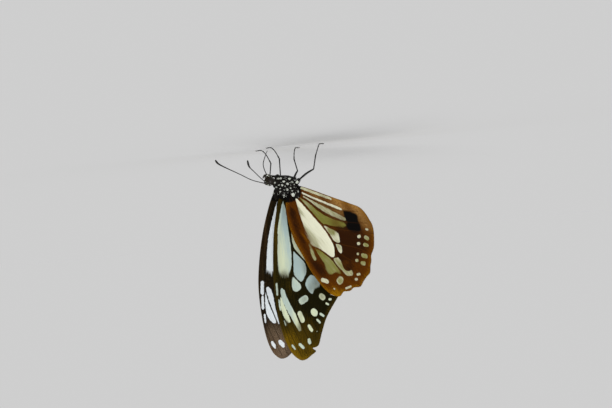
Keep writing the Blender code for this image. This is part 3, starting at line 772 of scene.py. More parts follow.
CLAW_RADII = (0.11, 0.09, 0.02)
BRISTLE_LENGTH = 0.3
BRISTLE_HALF_WIDTH = 0.025
BRISTLES = {"thigh": 90, "shin": 70, "foot": 80, "foreleg": 30}
print("walking legs:", list(LEG_JOINTS))

# %% Limb helpers

def foot_radii():
    """Radii down a foot of five joints, each swollen at its far end."""
    radii = []
    for radius in FOOT_RADII:
        radii += [radius, radius * FOOT_JOINT_SWELL, radius * 0.8]
    return radii


def bristles(route, count, radius):
    """Short spines that stand out round a limb and lean to its tip."""
    points = smooth_route(route, 24)
    picks = CHANCE.integers(2, len(points) - 2, count)
    ahead = unit(points[picks + 1] - points[picks - 1])
    around = unit(np.cross(ahead, CHANCE.normal(0, 1, (count, 3))))
    roots = points[picks] + around * radius * 0.8 * MM
    lengths = BRISTLE_LENGTH * MM * CHANCE.uniform(0.6, 1.2, count)
    lifts = CHANCE.uniform(0.4, 0.9, count)
    tips = roots + (ahead * np.cos(lifts)[:, None] + around * np.sin(lifts)[:, None]) * lengths[:, None]
    clear = (tips[:, 2] > 0) & (roots[:, 2] > 0.05 * MM)
    widths = np.full(count, BRISTLE_HALF_WIDTH * MM)
    patches = CHANCE.uniform(0.1, 0.9, (count, 2))
    values = (roots, around, ahead, lengths, widths, lifts, patches)
    mesh = tuft_mesh("bristles", *[value[clear] for value in values])
    mesh.uv_layers.remove(mesh.uv_layers[0])
    return mesh


def claw_pair(heel, toe):
    """Two hooked claws that splay from the tip of a foot down to the floor."""
    ahead = unit(toe - heel)
    meshes = []
    for hand in (-1, 1):
        out = np.cross(ahead, (0, 0, 1)) * hand * CLAW_SPREAD * MM
        tip = toe + ahead * CLAW_LENGTH * MM + out
        tip[2] = CLAW_RADII[-1] * MM
        arch = (toe + tip) / 2 + out * 0.4 + np.array((0, 0, 0.16 * MM))
        meshes.append(bar([toe - ahead * 0.15 * MM, arch, tip], CLAW_RADII))
    return meshes


print("bristles of each limb:", BRISTLES)


# %% A walking leg
def walking_leg(pair, side, word):
    """One walking leg as a piece, and its claws."""
    name = f"{pair}_{word}"
    hip = body_point(COXAE[pair][0][-1], side)
    knee, ankle, bend, heel, toe = [floor_point(joint, side) for joint in LEG_JOINTS[name]]
    heel[2] = toe[2] = FOOT_RADII[-1] * FOOT_JOINT_SWELL * MM
    thigh = [hip + UPWARD * 0.3 * MM, (hip + knee) / 2 - UPWARD * 0.2 * MM, knee]
    foot = [ankle, bend, heel, toe]
    meshes = [bar(thigh, FEMUR_RADII), bar([knee, (knee + ankle) / 2, ankle], TIBIA_RADII),
              bar(foot, foot_radii(), 10), bristles([knee, ankle], BRISTLES["shin"], TIBIA_RADII[2]),
              bristles(foot, BRISTLES["foot"], FOOT_RADII[2]),
              bristles(thigh, BRISTLES["thigh"], FEMUR_RADII[2])]
    nodes = [f"{name}_{part}" for part in ("femur", "tibia", "tarsus")]
    show(f"leg_{name}", gather(name, meshes), HORN, "leg_horn", *nodes)
    return claw_pair(heel, toe)


# %% Make the legs
claws = []
for side, word in SIDES:
    for pair in ("midleg", "hindleg"):
        claws += walking_leg(pair, side, word)
    route = [body_point(place, side) for place in FORELEG]
    folded = gather("foreleg", [bar(route, FORELEG_RADII), bristles(route, BRISTLES["foreleg"], 0.2)])
    show(f"folded_foreleg_{word}", folded, HORN, "leg_horn", f"foreleg_{word}")
claws = show("claws", gather("claws", claws), HORN, "leg_horn")
print("legs made; claws triangles:", len(claws.data.polygons))

# %% [markdown]
# ## Feelers and sucking tube
# The feelers are chains of some forty beads that swell to a slender club, so the bar that
# makes them gets a radius that rises and falls. The sucking tube hangs uncoiled below the
# head, as it does between two drinks.

# %% Feelers and tube
FEELER_ROUTES = {
    "left": [(11.6, 2.4, 9.9), (14.9, 4.65, 7.5), (19.6, 8.4, 3.9), (20.7, 9.4, 2.2)],
    "right": [(11.3, 2.4, 9.6), (14.9, 4.65, 7.5), (18.3, 7.3, 5.8), (19.8, 9.0, 3.9)],
}
FEELER_RADII = (0.15, 0.14, 0.14, 0.14, 0.14, 0.16, 0.25, 0.33, 0.24)
FEELER_BEADS = 42
FEELER_SOCKET = (8.25, 0.58, 1.25)
TUBE_ROOT = (7.5, 0.0, -1.0)
TUBE_ROUTE = [(7.6, 0.0, 8.0), (8.3, 0.0, 5.2), (7.3, 0.0, 2.6), (6.2, 0.0, 0.7)]
TUBE_RADII = (0.16, 0.15, 0.14, 0.12, 0.07)
TUBE_RINGS = 50


def beaded(radii, beads, depth=0.08):
    """Radii along a chain of beads: each bead swells and pinches."""
    count = beads * 4
    smooth = np.interp(np.linspace(0, 1, count), np.linspace(0, 1, len(radii)), radii)
    return smooth * (1 + depth * np.sin(np.arange(count) * math.pi / 2))


for side, word in SIDES:
    route = [body_point(FEELER_SOCKET, side)]
    route += [floor_point(place, side) for place in FEELER_ROUTES[word]]
    feeler = bar(route, beaded(FEELER_RADII, FEELER_BEADS), FEELER_BEADS)
    show(f"feeler_{word}", feeler, HORN, "leg_horn", f"antenna_{word}")
route = [body_point(TUBE_ROOT)] + [floor_point(place) for place in TUBE_ROUTE]
tube = bar(route, beaded(TUBE_RADII, TUBE_RINGS, 0.04), TUBE_RINGS)
show("sucking_tube", tube, HORN, "leg_horn", "proboscis")
print("feelers and tube made")

# %% [markdown]
# ## How the wings stand
# The wings are closed over the back in a narrow V, the hindwings outside the forewings. A
# wing is drawn flat first, in millimetres along it and across it, and one function then
# tips it back, leans it outward, bows it and pinches its root in to the body. Drawing flat
# keeps outline, veins and pattern in the same simple numbers.

# %% Wing pose
WING_LEAN = math.radians(5)
WING_HINGE = (1.7, 2.8, 3.4)
WING_BOW = 0.8
WING_RISE = 55.0
ROOT_PINCH = 1.0
PINCH_REACH = 3.0
WINGS = {                               # sweep, size, step along and up, spacing outward
    "forewing_left": (math.radians(-21.8), 0.985, (0.0, 0.0), 0.0),
    "forewing_right": (math.radians(-20), 1.0, (0.0, 0.0), 0.0),
    "hindwing_left": (math.radians(-60), 1.0, (-3.6, -1.6), 1.3),
    "hindwing_right": (math.radians(-60), 1.0, (-3.6, -1.6), 1.3),
}


def outward(side):
    """The direction that a wing's outer face looks in."""
    return SIDEWAYS * side * math.cos(WING_LEAN) - UPWARD * math.sin(WING_LEAN)


def wing_points(corners, lift, name, side):
    """World metres of flat wing places, raised from the wing's middle by a lift in millimetres."""
    sweep, size, step, spacing = WINGS[name]
    along, across = corners[:, 0] * size, corners[:, 1] * size
    ahead = step[0] + along * math.sin(sweep) - across * math.cos(sweep)
    rise = step[1] + along * math.cos(sweep) + across * math.sin(sweep)
    share = np.clip(rise / WING_RISE, 0, 1)
    pinch = ROOT_PINCH * np.exp(-(np.maximum(rise, -PINCH_REACH) + 2) / PINCH_REACH)
    out = spacing + WING_BOW * 4 * share * (1 - share) - pinch + lift
    climb = UPWARD * math.cos(WING_LEAN) + SIDEWAYS * side * math.sin(WING_LEAN)
    hinge = body_point(WING_HINGE, side)
    return hinge + (np.outer(ahead, FORWARD) + np.outer(rise, climb) + np.outer(out, outward(side))) * MM


print("wings:", list(WINGS))

# %% [markdown]
# ### Outlines and veins
# A wing is known by its outline and by its veins, which stiffen the membrane and part it into
# cells. Both are lists of places on the flat wing, so a closed curve and open curves through
# them give the true form. The near forewing has two marks of its own: a worn nick below its
# tip, and a front edge that bows out a little, because the wing bends where it hangs.

# %% Wing outlines and veins
FOREWING_OUTLINE = [
    (-1.5, -1.0), (0.6, -1.9), (5.0, -3.3), (12.0, -5.2), (21.0, -6.8), (30.0, -7.5), (39.0, -6.8),
    (46.6, -5.4), (51.4, -3.5), (53.9, -1.1), (54.3, 1.3), (53.0, 3.8), (50.0, 6.8), (45.7, 8.8),
    (40.8, 11.2), (35.5, 15.4), (31.5, 18.8), (28.0, 20.3), (24.5, 19.4), (16.0, 12.7), (7.0, 5.2),
    (0.6, 1.9), (-1.5, 1.1),
]
WORN_NICK = [(51.6, 5.9), (50.6, 4.4), (49.8, 7.0)]
NICKED_POINT = 12
BOWED_FRONT = [(0.6, -2.1), (5.0, -4.0), (12.0, -6.1), (21.0, -7.6), (30.0, -8.3), (39.0, -7.8),
               (46.6, -6.1), (51.4, -3.8)]
BOWED_COSTA = [(-1.0, -0.9), (5, -3.6), (12, -5.7), (21, -7.2), (30, -7.9), (39, -7.4), (47, -5.6)]
FOREWING_VEINS = {
    "costa": [(-1.0, -0.9), (5, -2.9), (12, -4.8), (21, -6.4), (30, -7.1), (39, -6.5), (47, -5.0)],
    "radius": [(-1.0, -0.5), (5, -1.8), (10, -3.5), (15, -5.1), (20, -5.9), (28, -6.3), (36, -6.6),
               (44, -5.3), (51.2, -3.0)],
    "radius_5": [(34, -6.5), (40, -5.7), (45, -3.9), (53.4, 0.3)],
    "media_1": [(28.0, -5.7), (31, -6.2), (34, -5.9), (37.5, -4.8), (41, -3.4), (47, -0.6), (53.1, 2.6)],
    "media_2": [(28.4, -3.9), (33, -3.9), (36, -2.6), (39, -0.9), (42.5, 0.8), (47, 3.0), (51.2, 5.0)],
    "media_3": [(28.0, -2.0), (31.5, -1.5), (35, 0.5), (38, 2.8), (41.5, 5.3), (46.0, 8.3)],
    "cubitus": [(-1.0, 0.2), (5, -0.1), (10, 0.0), (17, 0.3), (21, 0.0), (25, -0.5), (28.0, -2.0)],
    "cubitus_1": [(25.0, -0.5), (27.6, 1.0), (30.6, 2.9), (33.6, 5.2), (36.8, 8.4), (40.3, 10.9)],
    "cubitus_2": [(17.2, 0.3), (20.2, 2.9), (22.8, 5.1), (26, 8.0), (28.6, 10.4), (34.6, 15.4)],
    "anal": [(0.0, 0.9), (4, 2.4), (12, 7.6), (20, 13.8), (27.4, 19.4)],
    "cell_end": [(28.0, -6.2), (27.7, -4.8), (28.3, -3.6), (28.0, -2.0)],
}
HINDWING_OUTLINE = [
    (-2.0, -1.2), (-1.8, -3.6), (-0.6, -5.7), (1.6, -7.9), (5.0, -10.2), (10.0, -12.5), (15.5, -13.7),
    (21.0, -15.0), (27.0, -15.4), (31.3, -14.8), (33.9, -13.2), (34.5, -11.9), (34.4, -10.3),
    (35.9, -8.2), (36.2, -6.3), (37.7, -4.0), (37.4, -1.8), (37.2, 0.2), (37.2, 2.4), (35.8, 4.2),
    (34.9, 5.8), (33.6, 7.2), (32.7, 9.8), (31.1, 12.0), (28.2, 15.2), (25.4, 16.6), (20.6, 16.7),
    (16.2, 14.3), (9.2, 9.9), (2.3, 5.6), (-1.0, 3.2), (-2.0, 1.2),
]
HINDWING_VEINS = {
    "costa": [(-0.6, -3.2), (3.0, -7.4), (9.0, -10.6), (17, -12.6), (25, -13.6), (33.0, -12.9)],
    "radius": [(-1.2, -2.0), (4, -4.2), (9, -6.9), (14, -8.8), (20, -9.8), (26, -10.9), (34.0, -11.6)],
    "media_1": [(19.6, -6.7), (23.6, -5.6), (25.6, -6.1), (28.7, -6.2), (32, -5.8), (37.4, -4.0)],
    "media_2": [(24.2, -3.6), (27.5, -3.6), (31, -2.4), (37.0, -0.4)],
    "media_3": [(22.8, -2.3), (27, -1.3), (31, 0.6), (36.3, 3.4)],
    "cell_end": [(15.6, -9.0), (17.4, -7.6), (19.6, -6.7), (23.6, -5.6), (24.2, -3.6), (22.8, -2.3)],
    "cubitus": [(-1.2, -0.8), (6.2, -0.4), (13.2, -0.1), (20.4, -1.2), (22.8, -2.3)],
    "cubitus_1": [(20.8, -1.4), (22.3, 0.2), (24.5, 1.8), (28, 4.6), (33.2, 7.5)],
    "cubitus_2": [(13.8, 0.0), (16.5, 1.8), (21, 5.6), (25, 9.5), (29.6, 13.6)],
    "anal_1": [(0.0, 0.4), (5, 1.9), (10, 2.8), (14, 4.4), (18, 6.9), (22, 10.6), (25.6, 14.6)],
    "anal_2": [(-0.4, 0.9), (4.0, 3.2), (8, 4.9), (12, 7.0), (16, 9.8), (20.5, 15.0)],
}
print("forewing veins:", len(FOREWING_VEINS), "hindwing veins:", len(HINDWING_VEINS))

# %% [markdown]
# ## The wing pattern
# Each pale panel is a cell of membrane between veins, thinly scaled and a little glassy. A
# painter would outline each panel and fill it, and so does this cell: a panel is a tint and a
# few corners, and a spot is a short rounded bar. The tint goes from 0, the clear colour of
# that wing, to 1, its duller one.

# %% Forewing panels and spots
FOREWING_UNDER_PANELS = [               # a tint, then corners along and across the wing
    (0.5, [(1.8, -0.8), (5, -2.4), (8, -3.5), (11, -4.4), (15, -5.1), (20, -5.8), (24.8, -5.9), (26.2, -5.1),
           (26.9, -3.6), (26.2, -2.2), (23.5, -0.75), (18, -0.2), (10, -0.4), (5, -0.4)]),
    (0.2, [(18.6, 0.75), (22.5, 0.3), (26.3, 0.0), (28.7, 2.4), (27.4, 3.9), (25.3, 5.0), (22.8, 4.7),
           (20.6, 2.8)]),
    (0.4, [(27.2, -0.2), (28.5, -1.1), (31.0, -1.2), (31.9, -0.1), (31.6, 1.3), (30.7, 2.2), (29.3, 1.8)]),
    (0.1, [(26.6, 6.6), (27.6, 5.2), (29.6, 4.1), (31.2, 4.7), (32.9, 6.4), (31.2, 7.6), (30.4, 9.6),
           (28.6, 9.8), (27.2, 8.4)]),
    (0.8, [(6, 1.0), (12, 0.7), (16.8, 0.9), (19.4, 2.7), (23.0, 6.0), (26.5, 10.0), (25, 11.5), (18, 7.6),
           (11, 3.9)]),
    (0.3, [(30.6, -5.2), (30.8, -5.8), (32, -6.0), (34.5, -5.6), (37, -4.5), (40, -2.9), (43, -1.2),
           (44.6, -0.1), (44.2, 0.6), (42.5, 0.3), (39, -1.1), (36, -2.7), (33.0, -4.0), (31.3, -4.4)]),
    (0.75, [(33.2, -6.1), (35, -6.5), (38, -6.3), (40.4, -5.3), (41.8, -4.0), (41.6, -3.2), (39.9, -3.6),
            (37.4, -4.6), (35, -5.5)]),
]
FOREWING_SPOTS = [                      # two ends and a radius
    (35.1, 1.8, 34.3, 3.5, 1.1), (39.2, 0.8, 41.3, 1.6, 0.9), (38.8, 6.4, 39.1, 6.7, 1.2),
    (43.3, 4.0, 44.7, 4.9, 0.58), (47.9, 3.5, 48.7, 3.7, 0.6), (33.8, 10.1, 34.1, 10.5, 1.02),
    (49.2, -0.2, 50.2, 1.0, 0.5), (49.4, -3.2, 50.6, -2.2, 0.34), (39.6, 9.0, 40.2, 10.0, 0.42),
    (41.4, 7.5, 42.3, 8.4, 0.36), (36.2, 11.7, 36.5, 12.3, 0.38), (34.9, 13.1, 34.9, 13.5, 0.42),
    (45.2, 6.8, 45.3, 7.2, 0.2), (31.9, 16.4, 32.2, 16.8, 0.3), (30.4, 17.6, 30.7, 17.9, 0.28),
]
FOREWING_UNDER_MARKS = [(29.2, -7.3, 32.6, -7.4, 0.34), (34.4, -6.95, 37.8, -6.7, 0.24),
                        (41.2, -5.6, 42.6, -5.2, 0.16), (49.6, -2.9, 50.4, -2.3, 0.3)]
FOREWING_UPPER_PANELS = [
    (0.0, [(1.5, 0.3), (5, -0.8), (10, -2.3), (15, -3.4), (20, -4.0), (24.3, -4.2), (25.4, -3.2),
           (25.3, -1.6), (23.5, -0.75), (18, -0.2), (10, -0.3), (4, 0.1)]),
    *FOREWING_UNDER_PANELS[1:5],
    (0.0, [(30.0, -3.6), (30.4, -4.6), (32.4, -4.3), (35, -3.5), (38, -2.4), (42.6, -0.5), (42.2, -0.2),
           (39, -1.0), (36, -1.6), (33, -2.1), (30.9, -2.8)]),
    (0.0, [(31.5, -4.9), (34.5, -5.2), (38, -5.0), (39.8, -4.6), (41.2, -3.6), (42.3, -2.2), (41.8, -1.4),
           (38.5, -2.7), (35.5, -3.9), (33, -4.6)]),
]
FOREWING_UPPER_MARKS = [(48.7, -3.3, 49.8, -2.4, 0.5), (48.6, -0.2, 49.6, 0.9, 0.65),
                        (28.5, -6.0, 31.9, -6.2, 0.62), (33.3, -6.15, 37.0, -6.2, 0.48),
                        (39.2, -5.65, 41.7, -5.5, 0.34)]
print("forewing panels:", len(FOREWING_UNDER_PANELS), "spots:", len(FOREWING_SPOTS))

# %% Hindwing panels and spots
HINDWING_PANELS = [
    (0.05, [(0.9, -1.4), (5, -3.9), (9, -6.0), (13, -7.6), (15.6, -8.3), (18.3, -6.9), (21.0, -6.1),
            (23.4, -5.4), (23.8, -4.2), (22.4, -2.7), (20.3, -1.6), (15, -0.7), (8, -0.75), (1.2, -0.9)]),
    (1.0, [(1.6, 0.3), (8, 0.15), (13.3, 0.3), (14.6, 1.3), (17, 3.1), (20.2, 6.6), (19.4, 7.3), (18, 6.5),
           (14, 4.0), (10, 2.4), (5, 1.5)]),
    (0.6, [(2.5, 1.6), (5, 2.4), (10, 3.6), (14, 5.2), (18.8, 8.0), (18.3, 8.9), (15, 7.6), (10, 5.3),
           (5, 3.1), (2.5, 2.0)]),
    (0.1, [(1.5, 2.2), (5, 3.9), (10, 6.7), (15.8, 10.0), (15, 10.5), (10, 7.6), (5, 4.7), (1.5, 2.8)]),
    (0.5, [(0.0, 3.1), (4, 5.4), (8, 7.9), (10.8, 9.7), (9.8, 9.9), (5, 6.9), (0.0, 3.9)]),
    (0.3, [(14.2, 0.2), (18, -0.25), (20.7, -0.5), (22.2, 0.7), (20.9, 2.0), (19.6, 2.6), (17.2, 1.7)]),
    (0.15, [(21.4, -0.85), (24.4, -1.9), (25.1, -1.3), (24.0, 0.1), (22.4, 0.0)]),
    (0.5, [(24.2, -5.1), (26, -5.7), (29, -5.6), (31.5, -5.4), (32.7, -4.2), (33.0, -3.2), (31.7, -2.6),
           (31.2, -3.6), (30.0, -4.5), (28.5, -4.3), (26.5, -3.6), (25.0, -3.7)]),
    (0.85, [(17.0, -8.2), (20, -8.8), (23, -9.1), (25, -10.2), (26.7, -10.1), (27.5, -8.8), (28.2, -7.5),
            (29.5, -6.6), (27, -6.3), (23.5, -6.2), (20.5, -6.9), (18.3, -7.5)]),
    (0.7, [(14.3, -8.9), (16.5, -9.3), (18.5, -10.0), (19.8, -10.6), (19.6, -11.3), (18.3, -11.2),
           (16.5, -10.3)]),
]
HINDWING_SPOTS = [
    (30.9, -8.9, 30.9, -8.3, 1.15), (26.1, -13.7, 27.6, -12.8, 0.72), (31.0, -12.5, 31.3, -12.4, 0.25),
    (34.3, -8.7, 35.1, -6.9, 0.36), (30.8, 1.3, 31.0, 1.6, 0.5), (29.7, 3.3, 29.8, 3.5, 0.4),
    (27.5, 6.1, 27.7, 6.4, 0.52), (26.1, 8.1, 26.3, 8.5, 0.54), (33.0, 2.4, 33.5, 2.9, 0.72),
    (31.4, 4.6, 32.5, 5.3, 0.72), (29.5, 7.9, 30.3, 8.5, 0.62), (28.2, 10.1, 28.9, 10.4, 0.66),
    (34.9, -3.6, 35.1, -3.3, 0.45), (34.3, -1.8, 34.6, -1.2, 0.45), (26.6, 12.6, 27.0, 12.9, 0.38),
]
SEX_BRAND = [(16.3, 10.7), (18.4, 8.8), (19.9, 8.3), (20.4, 7.0), (22.2, 6.8), (24.2, 8.2), (25.4, 9.9),
             (24.4, 11.6), (22.6, 12.4), (21.4, 13.9), (19.7, 13.3), (17.6, 12.0)]
print("hindwing panels:", len(HINDWING_PANELS), "spots:", len(HINDWING_SPOTS))

# %% [markdown]
# ### Depth and wash of the ground
# Between the pale marks the ground isn't one brown: it is near black in the middle of the
# wing and opens to olive, golden or rosy brown at its tip and rim. Soft round patches, each a
# centre, a spread and a strength, raise or lower the depth of colour, like a few breaths of
# an airbrush.

# %% Patches of tone
# Each patch: along, across, reach along, reach across, strength.
FOREWING_UNDER_DEPTH = (0.9, [(52, -1, 7, 7, -0.6), (46, -3.8, 4, 3, -0.38), (45, 3.5, 4, 4, -0.2),
                              (12, -5.6, 14, 0.7, -0.3), (30, -2.6, 3, 1.2, -0.15), (34, 8, 5, 5, 0.3)])
FOREWING_UPPER_DEPTH = (0.9, [(50, -1, 5, 5, -0.5), (44.5, -3.5, 3, 2, -0.25), (29, -4, 2, 3, -0.1),
                              (10, -4.2, 12, 0.6, -0.4), (24, -5.8, 8, 0.5, -0.25)])
HINDWING_UNDER_DEPTH = (0.56, [
    (32.4, -12.6, 2.6, 1.8, -0.35), (28.5, -2.4, 1.8, 1, -0.3), (5, -6.9, 3, 0.8, 0.25),
    (9, -9.2, 3, 0.8, 0.25), (15, -11.2, 3, 0.8, 0.2), (25.6, 1.8, 5.4, 6.0, 0.62),
    (24.5, -2.2, 3.0, 1.6, 0.35), (22.6, -11.8, 3.8, 1.8, 0.42), (19, -12.6, 4, 1.0, 0.15),
    (3, -5.6, 2, 0.8, 0.3), (7, -8.2, 2.5, 0.9, 0.35), (11.5, -9.9, 3, 0.9, 0.3),
    (30.4, -2.9, 1.8, 1.2, 0.4), (22, 8.5, 5, 4, 0.4), (12, -8.6, 4, 0.6, -0.3), (3, -7, 2, 2, 0.2),
    (10, 4.5, 9, 3.5, 0.22), (23.5, -7.6, 4, 2.2, 0.2), (21, 5, 2.5, 2.5, 0.3), (30, 7.5, 3, 3, 0.1)])
HINDWING_UPPER_DEPTH = (0.6, [(25.5, 1.8, 6, 6, 0.3), (23, -11, 5, 3, 0.2), (23, 9, 5, 4, 0.3)])
FOREWING_WASH = [(45.5, -2.4, 3.5, 4.0, 0.36), (50, 0.5, 4, 3.5, 0.45), (53, 0.5, 2, 3, 0.3)]
HINDWING_WASH = [(13, 11.2, 6, 1.6, 0.75), (19.5, 15.2, 4, 1.8, 0.75), (25, 14.2, 3, 2.0, 0.55),
                 (8, 5.6, 7, 1.4, 0.45), (14, 8.6, 4, 1.4, 0.4)]
FOREWING_SMOKE = [(22.5, 2.6, 3, 2, 0.2), (34.8, 2.8, 1.5, 1.8, 0.45), (43, 0.2, 2.5, 1.4, 0.45),
                  (34, 10.3, 1.6, 1.6, 0.6), (23, -2.6, 3, 2, 0.16),
                  (40, 1.2, 1.8, 1, 0.3), (44, 4.5, 1.5, 1.2, 0.25), (39, 6.6, 1.5, 1.5, 0.15),
                  (48.4, 3.6, 1.5, 1, 0.25),
                  (30.0, 8.2, 3.4, 2.6, 0.7), (31.2, 5.6, 2, 1.2, 0.35), (24.6, 4.7, 3.2, 1.2, 0.5),
                  (26.8, -4.2, 2.0, 2.6, 0.9), (1.5, -0.7, 2.5, 1.0, 0.4), (43.9, 0.2, 1.4, 0.9, 0.4),
                  (42.3, -4.6, 2.0, 0.8, 0.5), (45.2, 7.0, 1.0, 1.0, 0.5), (38.8, 1.8, 1.0, 0.8, 0.3),
                  (34.0, 3.6, 1.0, 0.8, 0.25)]
HINDWING_SMOKE = [(12, -6.6, 5, 0.9, 0.4), (8, 8.4, 4, 1.0, 0.5), (7, 4.6, 4, 0.8, 0.25),
                  (17.0, 4.6, 3.8, 2.6, 0.7), (17.6, 8.1, 2.0, 1.0, 0.5), (13, -7.7, 4.5, 0.7, 0.5),
                  (28.6, -7.0, 1.3, 1.0, 0.45), (18.2, -8.0, 1.6, 0.7, 0.4), (32.3, -3.2, 0.9, 0.9, 0.3),
                  (34.9, -7.8, 1.2, 1.8, 0.4), (35, -3.5, 1.0, 1.0, 0.35), (15.3, -9.4, 1.5, 0.7, 0.5),
                  (26.8, 12.8, 0.8, 0.8, 0.4)]
FOREWING_TINT = [(41.5, 0.8, 4, 3, 0.7), (34, 10, 3, 3, 0.8), (39, 6.5, 2, 2, 0.35), (44, 4.5, 3, 3, 0.5),
                 (8, -1.5, 6, 1.1, -0.6), (20, -1.0, 7, 0.8, -0.25), (22, -4.2, 6, 1.5, 0.3),
                 (22.5, 1.6, 3, 1.5, -0.2)]
HINDWING_TINT = [(5, 1, 3, 1.5, -0.3), (28, -4.6, 3, 1.4, 0.3), (32.5, 3.5, 3, 6, 0.45),
                 (29.3, 9.6, 2.2, 2.2, 0.4), (31, -8.6, 1.6, 1.6, 0.5), (17.5, 1.2, 1.6, 1.6, 0.7),
                 (23, -0.6, 2, 1.2, 0.45), (12, -6.8, 5.5, 1.5, 0.95), (4.0, -3.4, 3, 0.8, 0.7),
                 (17.5, -4.6, 4, 1.2, 0.2), (16.5, 1.2, 2.0, 0.8, 0.35), (16, -7.6, 1.6, 0.9, 0.5),
                 (30.9, -8.6, 1.5, 1.5, -0.1)]
FOREWING_UPPER_SMOKE = [(25.4, -3.0, 1.0, 2.0, 0.5), *FOREWING_SMOKE[:2]]
FOREWING_UPPER_TINT = [(44, 0, 14, 10, -0.45), (30, -6, 8, 1, -0.4)]
FOREWING_UPPER_FADES = [(26.0, -3.0, 1.7, 2.2, 1.4)]
FOREWING_FADES = [(27.0, -3.8, 1.6, 2.6, 0.95), (24.5, -6.0, 4.0, 0.6, 0.4), (29.8, 8.4, 2.4, 2.0, 0.5),
                  (44.0, 0.3, 1.6, 1.0, 0.5), (42.5, -4.6, 1.8, 0.9, 0.5), (31, -6.9, 3, 0.5, 0.3)]
HINDWING_FADES = [(11, -7.3, 6, 1.0, 0.9), (4.0, -4.0, 3, 0.7, 0.5), (24.5, -9.8, 3.4, 1.0, 0.7),
                  (28.6, -7.3, 1.4, 1.0, 0.6), (19.0, 5.6, 2.4, 2.0, 0.6), (15.5, -9.4, 2.0, 0.8, 0.5),
                  (31.8, -4.0, 1.5, 1.5, 0.2)]


def patches(corners, base, spots):
    """A base value raised or lowered by soft patches, kept within 0 to 1."""
    total = np.full(len(corners), float(base))
    for along, across, reach, breadth, strength in spots:
        away = ((corners[:, 0] - along) / reach) ** 2 + ((corners[:, 1] - across) / breadth) ** 2
        total += strength * np.exp(-away)
    return np.clip(total, 0, 1)


print("patches under the hindwing:", len(HINDWING_UNDER_DEPTH[1]))


# %% Distances on a flat wing
def line_distance(points, lines):
    """How far each flat point is from the nearest of several lines."""
    best = np.full(len(points), 1e9)
    for line in lines:
        for a, b in zip(line, line[1:]):
            along = b - a
            t = np.clip((points - a) @ along / (along @ along), 0, 1)
            away = np.linalg.norm(points - a - t[:, None] * along, axis=1)
            best = np.minimum(best, away)
    return best


def inside(points, outline):
    """Whether each flat point is inside a closed outline."""
    found = np.zeros(len(points), bool)
    for a, b in zip(outline, np.roll(outline, -1, axis=0)):
        crosses = (a[1] > points[:, 1]) != (b[1] > points[:, 1])
        with np.errstate(divide="ignore", invalid="ignore"):
            meets = a[0] + (points[:, 1] - a[1]) * (b[0] - a[0]) / (b[1] - a[1])
        found ^= crosses & (points[:, 0] < meets)
    return found


def depth_inside(points, outline):
    """Distance to a closed outline, positive inside it."""
    ring = np.vstack((outline, outline[:1]))
    return line_distance(points, [ring]) * np.where(inside(points, outline), 1, -1)


def closed_curve(corners, steps=4):
    """A rounded closed outline through a few corners."""
    ring = [corners[-1], *corners, corners[0], corners[1]]
    return smooth_route(ring, steps)[steps:-2 * steps]


def spot_depth(points, spots):
    """Distance inside the nearest rounded bar, negative outside."""
    best = np.full(len(points), -1e9)
    for x0, y0, x1, y1, radius in spots:
        bar_line = np.array(((x0, y0), (x1 + 1e-6, y1)))
        best = np.maximum(best, radius - line_distance(points, [bar_line]))
    return best


def pale_depth(points, panels, spots):
    """Distance inside the nearest pale mark, and that mark's tint."""
    depth = spot_depth(points, spots)
    tint = np.full(len(points), 0.4)
    for shade, corners in panels:
        within = depth_inside(points, closed_curve(corners))
        tint = np.where(within > depth, shade, tint)
        depth = np.maximum(depth, within)
    return depth, tint


print("points round the first panel:", len(closed_curve(FOREWING_UNDER_PANELS[0][1])))

# %% [markdown]
# ## The wing sheet
# A real wing is thinner than paper, stiffened by hollow veins that stand up on both faces. A
# fine flat net of triangles is drawn through the outline, the veins and a grid of points
# between them, and then laid twice on the wing's curved surface, once for each face. The veins
# are rows of their own, so their ridges stay crisp.

# %% Flat net
NET_STEP = 0.34
MEMBRANE_HALF = 0.07
VEIN_RISE = 0.11
VEIN_FOOT = 0.24
VEIN_END = 0.12                         # how far short of the rim a vein stops
VEIN_FADE = 0.5                         # how much of a ridge's height is lost at the tip
WING_REACH = 55.0                       # length over which the ridges fade
PLEAT = 0.1                             # how far the sheet sags between two veins
PLEAT_REACH = 1.6                       # distance from a vein at which the sag is full


def even_points(route, spacing):
    """Points about so far apart along a smooth curve through a route."""
    fine = smooth_route(route, 16)
    lengths = np.append(0, np.cumsum(np.linalg.norm(np.diff(fine, axis=0), axis=1)))
    goals = np.linspace(0, lengths[-1], max(2, round(lengths[-1] / spacing)) + 1)
    return np.column_stack([np.interp(goals, lengths, fine[:, axis]) for axis in (0, 1)])


def vein_feet(line, border):
    """A vein's crest and the two feet of its ridge, kept inside the outline."""
    ahead = unit(np.gradient(line, axis=0))
    across = np.column_stack((-ahead[:, 1], ahead[:, 0])) * VEIN_FOOT
    rows = [line, line - across, line + across]
    return [row[depth_inside(row, border) > VEIN_END] for row in rows]


def filling(border, rows, spacing):
    """A grid of points that fills the outline and keeps clear of its edge and veins."""
    low, high = border.min(axis=0), border.max(axis=0)
    across = np.arange(low[1], high[1], spacing * math.sqrt(3) / 2)
    along = np.arange(low[0], high[0], spacing)
    grid = [(u + spacing / 2 * (row % 2), v) for row, v in enumerate(across) for u in along]
    grid = np.array(grid) + CHANCE.normal(0, spacing * 0.06, (len(grid), 2))
    clear = (depth_inside(grid, border) > spacing * 0.55) & (line_distance(grid, rows) > spacing * 0.5)
    return grid[clear]


